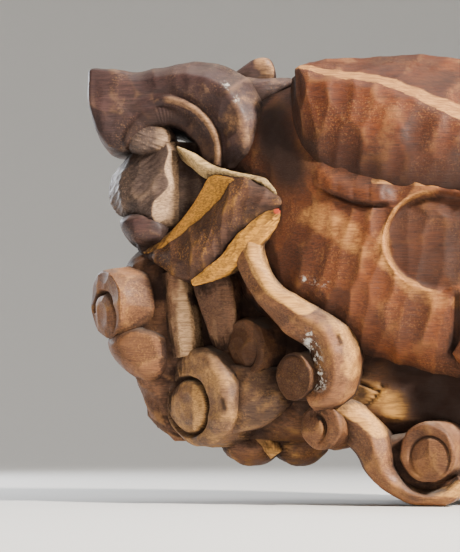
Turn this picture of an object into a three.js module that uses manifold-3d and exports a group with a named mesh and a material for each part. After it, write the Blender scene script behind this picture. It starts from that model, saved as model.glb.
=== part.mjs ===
// A carved timber beam end: a lion's head with an open mouth, curled lips and a beard of scrolled locks,
// cut from one block of hardwood and flat at the back, where it meets the post.
// Millimetres. The face looks along -Y, +Z is up, and the origin is the centre of the flat back.
import * as THREE from "three";
import { mergeVertices } from "three/addons/utils/BufferGeometryUtils.js";
import Module from "manifold-3d";

const wasm = await Module();
wasm.setup();

// Driving dimensions of the block that the head is carved from
const carvedLength = 422; // nose to the end of the carving
const headHeight = 429; // tuft to lowest lock
const headWidth = 268; // cheek to cheek
const neckLength = 57; // plain length between the carving's end and the back face

// The flat back
const backWidth = 176;
const backHeight = 268;
const backCorner = 14; // rounding of the back's corners

// The carver's drawing is 422 long, 429 high and 268 across, and every form below is placed on it.
const across = headWidth / 268;
const along = carvedLength / 422;
const upward = headHeight / 429;
const scrollScale = Math.cbrt(across * along * upward);
const onDrawing = ([x, y, z]) => new THREE.Vector3(x * across, y * along - neckLength, z * upward);

const lerp = (a, b, t) => a + (b - a) * t;
const ringAngles = (count) => Array.from({ length: count }, (_, i) => (i / count) * 2 * Math.PI);

// A smooth curve through rows of numbers: each row is a station, and every column is eased between stations.
function eased(rows) {
  const slope = (k, c) => (rows[Math.min(k + 1, rows.length - 1)][c] - rows[Math.max(k - 1, 0)][c]) / 2;
  return (t) => {
    const s = Math.min(Math.max(t, 0), 1) * (rows.length - 1);
    const k = Math.min(Math.floor(s), rows.length - 2);
    const f = s - k;
    const h = [2 * f ** 3 - 3 * f ** 2 + 1, f ** 3 - 2 * f ** 2 + f, -2 * f ** 3 + 3 * f ** 2, f ** 3 - f ** 2];
    return rows[k].map((v, c) => h[0] * v + h[1] * slope(k, c) + h[2] * rows[k + 1][c] + h[3] * slope(k + 1, c));
  };
}

// A closed skin over rings of points, each ring with the same count, its ends closed by fans.
function skin(rings) {
  const count = rings[0].length;
  const points = rings.flat();
  const middle = (ring) => ring.reduce((sum, p) => sum.clone().add(p)).multiplyScalar(1 / count);
  points.push(middle(rings[0]), middle(rings.at(-1)));
  const [first, last] = [points.length - 2, points.length - 1];
  const index = [];
  for (let i = 0; i < count; i += 1) {
    const j = (i + 1) % count;
    for (let k = 0; k < rings.length - 1; k += 1) {
      const [a, b, c, d] = [k * count + i, k * count + j, (k + 1) * count + i, (k + 1) * count + j];
      index.push(a, b, d, a, d, c);
    }
    const end = (rings.length - 1) * count;
    index.push(first, j, i, last, end + i, end + j);
  }
  const geometry = new THREE.BufferGeometry().setFromPoints(points);
  geometry.setIndex(index);
  return geometry;
}

// A three.js geometry as a solid. Whichever way its faces run, they end up pointing out.
function solid(geometry) {
  const bare = geometry.index ? geometry.toNonIndexed() : geometry.clone();
  bare.deleteAttribute("normal");
  bare.deleteAttribute("uv");
  const merged = mergeVertices(bare, 1e-3);
  const vertProperties = merged.attributes.position.array;
  const triVerts = new Uint32Array(merged.index.array);
  const made = new wasm.Manifold(new wasm.Mesh({ numProp: 3, vertProperties, triVerts }));
  if (made.volume() > 0) return made;
  for (let i = 0; i < triVerts.length; i += 3) {
    [triVerts[i + 1], triVerts[i + 2]] = [triVerts[i + 2], triVerts[i + 1]];
  }
  return new wasm.Manifold(new wasm.Mesh({ numProp: 3, vertProperties, triVerts }));
}

const opposite = (geometry) => geometry.clone().scale(-1, 1, 1);
const joined = (solids) => solids.reduce((sum, next) => sum.add(next));
const bothSides = (geometries) => geometries.flatMap((g) => [solid(g), solid(opposite(g))]);

// A rounded ring in a plane across the head: half width, top and bottom, and how square each half is.
function crossRing({ y, half, low, high, squareLow, squareHigh, belly, count }) {
  const centre = lerp(low, high, belly);
  return ringAngles(count).map((a) => {
    const [c, s] = [Math.cos(a), Math.sin(a)];
    const power = 2 / (s < 0 ? squareLow : squareHigh);
    const x = half * Math.sign(c) * Math.abs(c) ** power;
    const rise = Math.abs(s) ** power;
    return onDrawing([x, y, s < 0 ? centre - (centre - low) * rise : centre + (high - centre) * rise]);
  });
}

// A form lofted along the head through such rings, from stations of [y, half width, low, high].
function trunk(stations, { squareLow, squareHigh, belly, count, steps }) {
  const at = eased(stations);
  return skin(
    Array.from({ length: steps + 1 }, (_, k) => {
      const [y, half, low, high] = at(k / steps);
      return crossRing({ y, half, low, high, squareLow, squareHigh, belly, count });
    }),
  );
}

// The cheeks and skull, from the root of the snout to the back
const skull = () =>
  trunk(
    [
      [-296, 44, 40, 150],
      [-266, 76, -26, 170],
      [-232, 100, -58, 184],
      [-190, 118, -76, 194],
      [-140, 128, -90, 199],
      [-85, 131, -108, 200],
      [-30, 127, -116, 194],
      [12, 108, -112, 176],
      [42, 84, -108, 148],
    ],
    { squareLow: 3.6, squareHigh: 2.6, belly: 0.46, count: 22, steps: 11 },
  );

// The throat under the cheeks, which the beard's locks lie on
const throat = () =>
  trunk(
    [
      [-364, 12, -128, -50],
      [-344, 26, -146, 20],
      [-296, 44, -156, 40],
      [-235, 70, -158, 10],
      [-165, 88, -158, -20],
      [-90, 94, -164, -20],
      [-30, 94, -168, -20],
      [42, 78, -146, -20],
    ],
    { squareLow: 2.8, squareHigh: 2.6, belly: 0.4, count: 14, steps: 7 },
  );

// The solid middle of the muzzle: above the mouth's corner, and below it behind the teeth
const muzzle = () => boulder({ centre: [0, -258, 122], half: [54, 50, 66], square: 3.4, count: 12, steps: 5 });
const palate = () => boulder({ centre: [0, -292, 66], half: [42, 42, 44], square: 3.4, count: 12, steps: 5 });

// The plain block behind the carving, cut flat at the back
function backBlock() {
  const [w, h, r] = [backWidth / 2, backHeight / 2, backCorner];
  const outline = new THREE.Shape();
  outline.absarc(w - r, h - r, r, 0, Math.PI / 2);
  outline.absarc(r - w, h - r, r, Math.PI / 2, Math.PI);
  outline.absarc(r - w, r - h, r, Math.PI, 1.5 * Math.PI);
  outline.absarc(w - r, r - h, r, 1.5 * Math.PI, 2 * Math.PI);
  const depth = neckLength + 60 * along;
  return new THREE.ExtrudeGeometry(outline, { depth, bevelEnabled: false, curveSegments: 3 }).rotateX(Math.PI / 2);
}

// One brow: an overhanging eave, round like a ship's bow in front, that tapers to the temple.
// Stations: y, ridge x and z, crease x and z, how far the wall swells past the ridge, top x and z.
function brow() {
  const at = eased([
    [-224, 84, 182, 88, 150, 2, 74, 188],
    [-219, 92, 189, 96, 120, 7, 70, 197],
    [-206, 98, 186, 105, 95, 11, 62, 202],
    [-180, 105, 177, 113, 78, 13, 54, 206],
    [-140, 114, 169, 123, 70, 12, 46, 208],
    [-74, 132, 134, 132, 68, 6, 40, 208],
    [-16, 135, 104, 132, 68, 2, 40, 200],
    [34, 112, 88, 112, 66, 1, 36, 176],
  ]);
  const steps = 12;
  const innerX = -4; // the two brows run into each other on the middle line
  return skin(
    Array.from({ length: steps + 1 }, (_, k) => {
      const [y, ridgeX, ridgeZ, creaseX, creaseZ, swell, topX, topZ] = at(k / steps);
      const wall = (share, out) => [lerp(creaseX, ridgeX, share) + out * swell, y, lerp(creaseZ, ridgeZ, share)];
      const back = 26 * Math.max(0, 1 - k / 5);
      return [
        [creaseX - 22, y, creaseZ + 8],
        [creaseX, y, creaseZ],
        wall(0.2, 0.75),
        wall(0.5, 1),
        wall(0.8, 0.6),
        [ridgeX, y, ridgeZ],
        [lerp(ridgeX, topX, 0.5), y + 0.3 * back, lerp(ridgeZ, topZ, 0.6)],
        [topX, y + 0.6 * back, topZ],
        [innerX, y + back, topZ - 3],
        [innerX, y + back, topZ - 40],
      ].map(onDrawing);
    }),
  );
}

// The lid under the brow
const eyelid = () => boulder({ centre: [110, -152, 64], half: [15, 52, 17], square: 2.2, count: 10, steps: 5 });

// The round hollow on the cheek, below the temple
const hollow = { centre: [133, -92, 25], facing: [1, -0.03, -0.02], radius: 50, depth: 9 };

function cheekHollow() {
  const { centre, facing, radius, depth } = hollow;
  const bowl = new THREE.CylinderGeometry(radius * 1.2, radius * 0.94, 20 + depth, 20).rotateX(Math.PI / 2);
  bowl.translate(0, 0, 10 - depth / 2);
  return placed(bowl, centre, facing);
}

// The nostril wings, the curled lips and the gums are rings round the mouth's corner. They are drawn in
// polar form: an angle from the back, and a distance out.
const mouthCorner = { y: -338, z: 116 };
const lipInner = 27; // radius of the mouth's opening
const gumWidth = 13;
const beadWidth = 9;
const gumHalf = 52; // half width of the snout at the gum
const beadHalf = 64; // at the raised bead along the lip
const wingHalf = 79; // at the swell of the nostril wing

const aroundMouth = (x, radius, angle) =>
  onDrawing([x, mouthCorner.y + radius * Math.cos(angle), mouthCorner.z + radius * Math.sin(angle)]);

function nostrilWing() {
  // Stations: angle in degrees, outer radius, how much of the wing's swell is left, and how far the
  // snout has narrowed.
  const at = eased([
    [-14, 76, 0.2, 2],
    [2, 91, 0.75, 0],
    [18, 95, 1, 0],
    [36, 101, 1, 0],
    [54, 101, 0.9, 0],
    [72, 94, 0.65, 2],
    [90, 87, 0.3, 5],
    [108, 84, 0, 9],
    [126, 80, -0.2, 14],
  ]);
  const steps = 12;
  const gum = lipInner + gumWidth;
  const bead = gum + beadWidth;
  const innerHalf = -4; // the two wings run into each other on the middle line
  return skin(
    Array.from({ length: steps + 1 }, (_, k) => {
      const [degrees, outer, full, narrow] = at(k / steps);
      const angle = THREE.MathUtils.degToRad(degrees);
      const swell = (wingHalf - beadHalf + 4) * full;
      const between = (share) => lerp(bead, outer, share);
      return [
        [innerHalf, lipInner],
        [gumHalf - 0.6 * narrow, lipInner],
        [gumHalf + 4 - 0.6 * narrow, gum],
        [beadHalf - 2 - narrow, gum + 1],
        [beadHalf - narrow, gum + 0.55 * beadWidth],
        [beadHalf - 5 - narrow, bead],
        [beadHalf - 4 + swell - narrow, between(0.45)],
        [beadHalf - 8 + 0.6 * swell - narrow, between(0.8)],
        [beadHalf - 18 - narrow, outer],
        [innerHalf, outer + 1],
      ].map(([x, radius]) => aroundMouth(x, radius, angle));
    }),
  );
}

// A rounded block: rings along Y between two shrinking ends, each a superellipse across.
function boulder({ centre, half, square, count = 18, steps = 8 }) {
  const [cx, cy, cz] = centre;
  const [hx, hy, hz] = half;
  const bulge = (v) => Math.sign(v) * Math.abs(v) ** (2 / square);
  return skin(
    Array.from({ length: steps + 1 }, (_, k) => {
      const a = lerp(-0.47, 0.47, k / steps) * Math.PI;
      const size = bulge(Math.cos(a));
      return ringAngles(count).map((b) =>
        onDrawing([cx + hx * size * bulge(Math.cos(b)), cy + hy * bulge(Math.sin(a)), cz + hz * size * bulge(Math.sin(b))]),
      );
    }),
  );
}

const noseTip = () => boulder({ centre: [0, -386, 166], half: [50, 37, 39], square: 3.3, count: 16, steps: 7 });
const bridge = () => boulder({ centre: [0, -316, 170], half: [50, 104, 26], square: 3, count: 14, steps: 6 });
const upperLip = () => boulder({ centre: [30, -360, 136], half: [27, 23, 14], square: 2.6, count: 10, steps: 5 });

// The small tuft that stands on the bridge between the brows
const tuft = () => boulder({ centre: [0, -257, 196], half: [17, 17, 20], square: 4, count: 8, steps: 5 });

// The front teeth, cut as one faceted block like a boat's bow. Stations: z, half width, front y.
function teeth() {
  const at = eased([
    [128, 44, -382],
    [112, 46, -392],
    [96, 46, -401],
    [78, 45, -403],
    [64, 42, -394],
    [52, 36, -370],
  ]);
  const [steps, backY, cornerY] = [5, -304, -328];
  const plan = [
    [-0.6, 1], [-1, 0], [-0.9, -0.22], [-0.52, -0.74], [0, -1], [0.52, -0.74], [0.9, -0.22], [1, 0], [0.6, 1],
  ];
  return skin(
    Array.from({ length: steps + 1 }, (_, k) => {
      const [z, half, frontY] = at(k / steps);
      return plan.map(([x, y]) => {
        const low = z - 6 * Math.abs(x) * (k === steps ? 1 : 0);
        return onDrawing([x * half, y > 0 ? backY : lerp(cornerY, frontY, -y), low]);
      });
    }),
  );
}

// The web of lip that joins the upper and the lower jaw behind the teeth
const lipWeb = {
  stations: [
    [40, -334, 119, 12, 3],
    [53, -314, 109, 17, 3],
    [66, -296, 99, 17, 3],
    [78, -278, 88, 14, 3],
  ],
  from: [0.75, -0.3, 0.55],
  to: [0.75, -0.3, 0.55],
  sink: 30,
  steps: 4,
};

// The lower lip, a full lobe that flares out along the jaw to the corner of the mouth.
// Stations: x, y, rim z, lower z, width and rise of the chamfer inside the rim, swell of the outer face.
function lowerLip() {
  const at = eased([
    [34, -361, 31, 24, 2, 1, 0],
    [47, -347, 33, 7, 6, 6, 8],
    [60, -329, 44, -6, 9, 12, 13],
    [69, -310, 59, -6, 14, 14, 16],
    [77, -291, 80, 5, 18, 10, 14],
    [84, -273, 88, 26, 14, 3, 12],
    [91, -253, 81, 48, 8, 0, 8],
    [97, -229, 66, 61, 3, 0, 1],
  ]);
  const steps = 12;
  return skin(
    Array.from({ length: steps + 1 }, (_, k) => {
      const [x, y, rim, low, chamfer, rise, swell] = at(k / steps);
      const [aheadX, aheadY] = at(Math.min(k / steps + 0.01, 1));
      const [behindX, behindY] = at(Math.max(k / steps - 0.01, 0));
      const turn = Math.atan2(aheadY - behindY, aheadX - behindX);
      const [nx, ny] = [Math.sin(turn), -Math.cos(turn)];
      const out = (distance, z) => onDrawing([x + nx * distance, y + ny * distance, z]);
      const level = (share) => lerp(low, rim, share);
      return [
        out(-34, level(0.3)),
        out(-8, low),
        out(0.5 * swell, level(0.14)),
        out(swell, level(0.45)),
        out(0.6 * swell, level(0.8)),
        out(0, rim),
        out(-chamfer, rim + 0.4 * rise),
        out(-34, rim - 0.5 * rise),
      ];
    }),
  );
}

const chin = () => boulder({ centre: [0, -350, 47], half: [44, 37, 19], square: 2.6, count: 12, steps: 5 });

// A lock of the beard: a band swept along a path, with a crest that makes it look like two planed faces.
// Stations: x, y, z, width, crest height. `from` and `to` are the ways it faces at its two ends.
const bandProfile = [[-0.5, -1], [-0.5, 0], [-0.36, 0.6], [0.06, 1], [0.42, 0.56], [0.5, -1]];

function lock({ stations, from, to, sink, steps = 10 }) {
  const at = eased(stations);
  const point = (t) => onDrawing(at(t));
  return skin(
    Array.from({ length: steps + 1 }, (_, k) => {
      const t = k / steps;
      const here = point(t);
      const ahead = point(Math.min(t + 0.02, 1)).sub(point(Math.max(t - 0.02, 0))).normalize();
      const facing = new THREE.Vector3(...from).lerp(new THREE.Vector3(...to), t);
      const sideways = new THREE.Vector3().crossVectors(ahead, facing).normalize();
      const outward = new THREE.Vector3().crossVectors(sideways, ahead).normalize();
      const [width, crest] = at(t).slice(3);
      return bandProfile.map(([w, h]) =>
        here
          .clone()
          .addScaledVector(sideways, w * width * scrollScale)
          .addScaledVector(outward, (h < 0 ? h * sink : h * crest) * scrollScale),
      );
    }),
  );
}

function placed(geometry, centre, facing) {
  const outward = new THREE.Vector3(...facing).normalize();
  const level = new THREE.Vector3().crossVectors(new THREE.Vector3(0, 0, 1), outward).normalize();
  const upright = new THREE.Vector3().crossVectors(outward, level);
  const place = new THREE.Matrix4().makeBasis(level, upright, outward).setPosition(onDrawing(centre));
  return geometry.applyMatrix4(place);
}

// The scroll at a lock's end: a short drum facing outward, with a groove wound round its eye.
// `eye` is the eye's place on the drum's face and its radius, `start` the angle in degrees where the groove
// enters, and `sweep` how far it winds.
function scroll({ centre, facing, radius, length, eye, start, sweep }) {
  const [r, l] = [radius * scrollScale, length * scrollScale];
  const drum = new THREE.CylinderGeometry(0.94 * r, 1.06 * r, l, 12).rotateX(Math.PI / 2).translate(0, 0, -l / 2);
  const [eyeX, eyeY, eyeR] = eye.map((v) => v * scrollScale);
  const grooveHalf = 1.7 * scrollScale;
  const grooveDepth = 9 * scrollScale;
  const bends = 6;
  const edge = (k, side) => {
    const t = k / bends;
    const angle = THREE.MathUtils.degToRad(start + sweep * t);
    const distance = eyeR + grooveHalf + side * grooveHalf * Math.sin(Math.PI * lerp(0.12, 0.94, t));
    return new THREE.Vector2(eyeX + distance * Math.cos(angle), eyeY + distance * Math.sin(angle));
  };
  const outline = [
    ...Array.from({ length: bends + 1 }, (_, k) => edge(k, 1)),
    ...Array.from({ length: bends + 1 }, (_, k) => edge(bends - k, -1)),
  ];
  const groove = new THREE.ExtrudeGeometry(new THREE.Shape(outline), { depth: 2 * grooveDepth, bevelEnabled: false });
  groove.translate(0, 0, -grooveDepth);
  return { drum: placed(drum, centre, facing), groove: placed(groove, centre, facing) };
}

const sideLocks = [
  lipWeb,
  // the strap from the mouth's corner, along the lower lip
  {
    stations: [
      [94, -230, 60, 8, 2],
      [94, -244, 46, 20, 4],
      [92, -262, 22, 26, 5],
      [84, -282, 2, 16, 4],
      [74, -300, -8, 6, 1],
    ],
    from: [0.95, -0.1, 0.3],
    to: [0.7, -0.5, 0.3],
    sink: 26,
    steps: 5,
  },
  // from the corner of the mouth down to its scroll
  {
    stations: [
      [92, -248, 34, 12, 4],
      [93, -258, 12, 22, 8],
      [95, -253, -10, 26, 10],
      [98, -240, -28, 31, 13],
      [102, -216, -43, 37, 16],
      [104, -193, -60, 41, 18],
      [104, -186, -84, 43, 18],
      [102, -190, -106, 36, 15],
      [98, -208, -118, 22, 8],
    ],
    from: [0.94, -0.3, 0.12],
    to: [0.94, -0.3, -0.16],
    sink: 34,
    steps: 11,
  },
  // along the bottom, back from its scroll
  {
    stations: [
      [92, -190, -118, 26, 8],
      [92, -171, -134, 38, 12],
      [90, -152, -151, 42, 14],
      [90, -143, -170, 34, 14],
      [91, -132, -186, 26, 12],
      [94, -110, -197, 20, 10],
      [98, -84, -199, 18, 10],
      [102, -66, -186, 18, 9],
      [102, -64, -166, 14, 6],
    ],
    from: [0.92, -0.32, -0.1],
    to: [0.95, -0.2, -0.1],
    sink: 30,
    steps: 10,
  },
  // upright strands under the jaw
  {
    stations: [
      [40, -337, 6, 32, 9],
      [41, -334, -20, 32, 9],
      [42, -330, -46, 32, 9],
      [42, -326, -74, 30, 8],
    ],
    from: [0.86, -0.5, 0],
    to: [0.86, -0.5, 0],
    sink: 26,
    steps: 4,
  },
  {
    stations: [
      [60, -303, 8, 38, 6],
      [58, -297, -18, 38, 7],
      [56, -291, -44, 34, 7],
      [52, -286, -70, 24, 5],
    ],
    from: [0.9, -0.4, 0],
    to: [0.9, -0.4, 0],
    sink: 26,
    steps: 4,
  },
  // the body of the great scroll, coming round from under the cheek
  {
    stations: [
      [70, -222, -100, 30, 8],
      [70, -242, -106, 46, 12],
      [62, -266, -112, 60, 12],
      [46, -288, -114, 72, 6],
    ],
    from: [0.92, -0.3, -0.1],
    to: [0.8, -0.6, -0.1],
    sink: 34,
    steps: 5,
  },
  // locks of the mane, behind the cheek
  {
    stations: [
      [112, -66, 108, 16, 6],
      [122, -28, 84, 34, 12],
      [116, 12, 62, 34, 12],
      [96, 42, 50, 16, 6],
    ],
    from: [1, -0.2, 0.3],
    to: [0.9, 0.3, 0.2],
    sink: 34,
    steps: 4,
  },
  {
    stations: [
      [120, -52, -4, 20, 8],
      [124, -22, -20, 44, 14],
      [114, 16, -20, 42, 13],
      [92, 44, -10, 18, 6],
    ],
    from: [1, 0, 0],
    to: [0.9, 0.3, 0],
    sink: 34,
    steps: 4,
  },
  {
    stations: [
      [120, -76, -66, 22, 8],
      [122, -42, -86, 42, 14],
      [112, 2, -92, 40, 13],
      [88, 42, -80, 18, 6],
    ],
    from: [1, 0, -0.2],
    to: [0.9, 0.3, -0.1],
    sink: 36,
    steps: 4,
  },
  {
    stations: [
      [96, -50, -128, 22, 8],
      [98, -20, -142, 36, 12],
      [90, 14, -142, 32, 11],
      [76, 44, -130, 16, 6],
    ],
    from: [0.9, 0, -0.4],
    to: [0.8, 0.3, -0.4],
    sink: 34,
    steps: 4,
  },
];

const sideScrolls = [
  // the front scroll, under the chin
  { centre: [31, -402, -24], facing: [0.53, -0.84, -0.1], radius: 34, length: 34, eye: [-5, -10, 20], start: 170, sweep: -200 },
  // at the end of the lock from the mouth's corner
  { centre: [99, -224, -95], facing: [0.72, -0.69, -0.08], radius: 23, length: 40, eye: [0, 0, 17], start: 40, sweep: 150 },
  // below it, where the bottom lock starts
  { centre: [99, -199, -140], facing: [0.88, -0.46, -0.08], radius: 22, length: 40, eye: [0, 0, 15], start: 100, sweep: -180 },
  // at the bottom lock's other end
  { centre: [106, -104, -165], facing: [0.87, -0.48, -0.08], radius: 29, length: 44, eye: [2, -2, 19], start: 20, sweep: 220 },
  // small, under the jaw
  { centre: [71, -270, -67], facing: [0.72, -0.69, -0.08], radius: 28, length: 44, eye: [-6, 0, 20], start: 90, sweep: -200 },
  // the great scroll of the beard
  { centre: [53, -317, -112], facing: [0.72, -0.69, -0.06], radius: 49, length: 62, eye: [-8, -8, 25], start: 150, sweep: -240 },
];

// The stem that rises between the great scrolls and carries the front ones.
// Stations: z, half width, front y, back y.
function stem() {
  const at = eased([
    [-152, 14, -338, -290],
    [-131, 24, -360, -290],
    [-108, 30, -369, -290],
    [-92, 36, -376, -290],
    [-68, 44, -398, -300],
    [-36, 46, -396, -320],
    [-4, 36, -372, -330],
  ]);
  const [steps, count, square] = [6, 12, 2.7];
  const bulge = (v) => Math.sign(v) * Math.abs(v) ** (2 / square);
  return skin(
    Array.from({ length: steps + 1 }, (_, k) => {
      const [z, half, front, back] = at(k / steps);
      const [middleY, reach] = [(front + back) / 2, (back - front) / 2];
      return ringAngles(count).map((a) =>
        onDrawing([half * bulge(Math.cos(a)), middleY + reach * bulge(Math.sin(a)), z]),
      );
    }),
  );
}

// The underside of the beard, between the great scrolls and the throat
const underLock = (x, y, z) => boulder({ centre: [x, y, z], half: [36, 32, 26], square: 2.4, count: 12, steps: 5 });

const scrolls = sideScrolls.map(scroll);
const middle = [skull(), throat(), muzzle(), palate(), backBlock(), noseTip(), bridge(), tuft(), teeth(), chin()];
const beard = [stem(), underLock(0, -264, -151), underLock(0, -218, -151)];
const sides = [brow(), eyelid(), nostrilWing(), upperLip(), lowerLip(), ...sideLocks.map(lock), ...scrolls.map((s) => s.drum)];
const body = joined([...[...middle, ...beard].map(solid), ...bothSides(sides)]);
const cuts = joined(bothSides([cheekHollow(), ...scrolls.map((s) => s.groove)]));
const head = body.subtract(cuts);

function asGeometry(manifold) {
  const mesh = manifold.getMesh();
  const geometry = new THREE.BufferGeometry();
  geometry.setAttribute("position", new THREE.BufferAttribute(mesh.vertProperties, 3));
  geometry.setIndex(new THREE.BufferAttribute(mesh.triVerts, 1));
  geometry.computeVertexNormals();
  return geometry;
}

const wood = new THREE.MeshStandardMaterial({ color: 0x7a4a2c, roughness: 0.62, metalness: 0 });
const carving = new THREE.Mesh(asGeometry(head), wood);
carving.name = "lion_head";

const part = new THREE.Group();
part.add(carving);
export default part;
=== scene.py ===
# %% [markdown]
# # A lion's head on a beam end
# The real object is one block of hardwood, carved by gouge and chisel, that stands out from a post. This
# lesson gives it its surface. Every form of the head (brow, snout, lip, lock, scroll) is worked out as a
# surface of two parameters with numpy, cut over with gouge marks, and put into a mesh. The CAD model's one
# solid gives the size and the place of everything, and the forms below replace it.

# %% The frame
import math

import bpy
import numpy as np
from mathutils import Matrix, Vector


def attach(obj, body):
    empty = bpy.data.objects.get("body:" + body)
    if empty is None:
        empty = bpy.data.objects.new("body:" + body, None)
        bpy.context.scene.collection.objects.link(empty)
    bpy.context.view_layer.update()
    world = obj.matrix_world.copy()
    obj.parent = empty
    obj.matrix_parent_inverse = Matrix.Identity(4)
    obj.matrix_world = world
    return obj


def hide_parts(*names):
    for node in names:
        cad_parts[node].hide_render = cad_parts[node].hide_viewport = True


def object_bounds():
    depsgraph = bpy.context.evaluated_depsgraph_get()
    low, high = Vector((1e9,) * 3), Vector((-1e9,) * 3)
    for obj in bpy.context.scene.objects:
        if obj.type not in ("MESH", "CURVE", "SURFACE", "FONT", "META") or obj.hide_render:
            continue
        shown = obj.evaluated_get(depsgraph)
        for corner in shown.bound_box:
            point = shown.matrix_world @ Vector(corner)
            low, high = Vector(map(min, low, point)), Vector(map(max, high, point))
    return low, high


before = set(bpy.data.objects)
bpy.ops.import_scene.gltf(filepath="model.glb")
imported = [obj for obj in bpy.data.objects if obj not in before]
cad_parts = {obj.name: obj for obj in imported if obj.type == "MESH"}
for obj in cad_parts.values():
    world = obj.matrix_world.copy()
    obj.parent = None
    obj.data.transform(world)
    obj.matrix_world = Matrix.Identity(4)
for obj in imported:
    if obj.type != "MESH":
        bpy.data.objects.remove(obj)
cad_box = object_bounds()
print("CAD box in metres:", [tuple(round(v, 3) for v in corner) for corner in cad_box])

# %% [markdown]
# ## Units and curves
# The forms are drawn as a carver would, in millimetres on a side drawing: x across the head, y back from
# the nose and z up. A form's main lines are a few rows of numbers. A cubic that passes through every row is
# the usual way to get a fair curve from few numbers, and it works on whole arrays at once.

# %% Curves through rows of numbers
MM = 0.001
neck_length = 57.0  # plain wood between the carving's end and the back face


def eased(rows, t):
    """The smooth curve through rows of numbers: between two rows every column follows a cubic, and its
    slope at a row is half the step from the row before to the row after."""
    rows = np.asarray(rows, dtype=float)
    s = np.clip(t, 0, 1) * (len(rows) - 1)
    k = np.minimum(s.astype(int), len(rows) - 2)
    f = (s - k).reshape(-1, *[1] * (rows.ndim - 1))
    padded = np.concatenate([rows[:1], rows, rows[-1:]])
    slope = (padded[2:] - padded[:-2]) / 2
    start = (2 * f**3 - 3 * f**2 + 1) * rows[k] + (f**3 - 2 * f**2 + f) * slope[k]
    return start + (3 * f**2 - 2 * f**3) * rows[k + 1] + (f**3 - f**2) * slope[k + 1]


def evenly(rings, count):
    """Each ring resampled at equal steps along its own length."""
    closed = np.concatenate([rings, rings[:, :1]], axis=1)
    step = np.linalg.norm(np.diff(closed, axis=1), axis=-1)
    length = np.concatenate([np.zeros((len(rings), 1)), np.cumsum(step, axis=1)], axis=1)
    share = np.linspace(0, 1, count, endpoint=False)
    rows = [[np.interp(share * far[-1], far, axis) for axis in ring.T] for ring, far in zip(closed, length)]
    return np.moveaxis(np.array(rows), 1, 2)


def rounded(corners, count, soft):
    """Each row of corners becomes a ring of `count` points at even steps along its straight sides. Then
    each point becomes the mean of itself and its two neighbours, `soft` times over, which rounds the
    corners off."""
    ring = evenly(corners, count)
    for _ in range(soft):
        ring = (np.roll(ring, 1, axis=1) + ring + np.roll(ring, -1, axis=1)) / 3
    return ring


def blend(a, b, share):
    """A straight change from a at share 0 to b at share 1."""
    return a + (b - a) * share


def ramp(value, low, high):
    """0 below low, 1 above high, and an S-shaped rise between them."""
    f = np.clip((value - low) / (high - low), 0, 1)
    return f * f * (3 - 2 * f)


def bell(value, width):
    """1 at 0 and less and less on both sides: the exponential of minus the square of value over width."""
    return np.exp(-((value / width) ** 2))


print("curve helpers ready; a test curve passes through", eased([[0.0], [2.0], [1.0]], np.array([0.5]))[0])

# %% [markdown]
# ## The gouge
# On the real head no surface is smooth: a gouge has taken it down in overlapping shallow cuts 12 to 20 mm
# wide. A cut is a scoop, and two scoops meet in a ridge. Sculpting each by hand is one way. Here each point
# looks for the nearest of a field of jittered middles, and the squared distance to it is the scoop: a bowl
# with sharp rims.

# %% Gouge cuts
ridge_distance = 0.38  # squared distance from a cut's middle, in cells, where it usually meets the next cut


def scattered(i, j, seed):
    """Three repeatable random numbers from 0 to 1 for each cell (i, j): the fraction left by a large
    sine."""
    base = i * 12.9898 + j * 78.233 + seed * 3.71
    return [np.modf(np.abs(np.sin(base + shift)) * 43758.5453)[0] for shift in (0.0, 1.7, 4.1)]


def gouge_cuts(along, across, length, width, seed):
    """The squared distance from each point to the nearest middle of a cut, over that of a usual ridge, and
    the cut's own tone. A share of the tone is added to the distance, so cuts differ in depth. Cells are
    `length` by `width`, every second row is shifted by half a cell, and each middle is jittered."""
    a, b = along / length, across / width
    nearest = np.full(a.shape, 9.0)
    tone = np.zeros(a.shape)
    for down in (-1, 0, 1):
        j = np.floor(b) + down
        shift = 0.5 * np.mod(j, 2)
        for right in (-1, 0, 1):
            i = np.floor(a - shift) + right
            x, y, t = scattered(i, j, seed)
            along_cut = i + shift + 0.15 + 0.7 * x - a
            across_cut = j + 0.22 + 0.56 * y - b
            distance = 0.75 * along_cut**2 + across_cut**2 + 0.4 * t
            tone = np.where(distance < nearest, t, tone)
            nearest = np.minimum(nearest, distance)
    return np.minimum(nearest / ridge_distance, 1.6), tone


def run_of(grid, axis):
    """Length along the surface from its start, in the direction of that parameter."""
    step = np.linalg.norm(np.diff(grid, axis=axis), axis=-1)
    lead = np.zeros_like(np.take(step, [0], axis=axis))
    return np.concatenate([lead, np.cumsum(step, axis=axis)], axis=axis)


def outward(grid):
    """The unit normals of a ring-shaped grid: the cross product of its two parameter directions, pointing
    out."""
    rows = np.gradient(grid, axis=0)
    columns = np.roll(grid, -1, axis=1) - np.roll(grid, 1, axis=1)
    normal = np.cross(rows, columns)
    if np.sum(normal * (grid - grid.mean(axis=(0, 1)))) < 0:
        normal = -normal
    return normal / np.maximum(np.linalg.norm(normal, axis=-1, keepdims=True), 1e-9)


def carved(grid, length, width, depth, seed, turned=False, chart=None):
    """A smooth form after the gouge: each point sinks along its normal, by up to `depth` in the middle of a
    cut and by nothing on a ridge. `turned` lays the cuts round the form and not along it, and `chart` is a
    pair of other lengths to lay them out in."""
    down, round_ = chart or (run_of(grid, 0), run_of(grid, 1))
    along, across = (round_, down) if turned else (down, round_)
    near, tone = gouge_cuts(along, across, length, width, seed)
    sink = depth * (1 - near)
    return grid - outward(grid) * sink[..., None], {"ridge": near, "tone": tone}


how_near = gouge_cuts(np.zeros(1), np.zeros(1), 40, 18, 3)[0]
print("on a scale where a usual ridge is 1, the point (0, 0) lies at", how_near.round(2))

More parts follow.
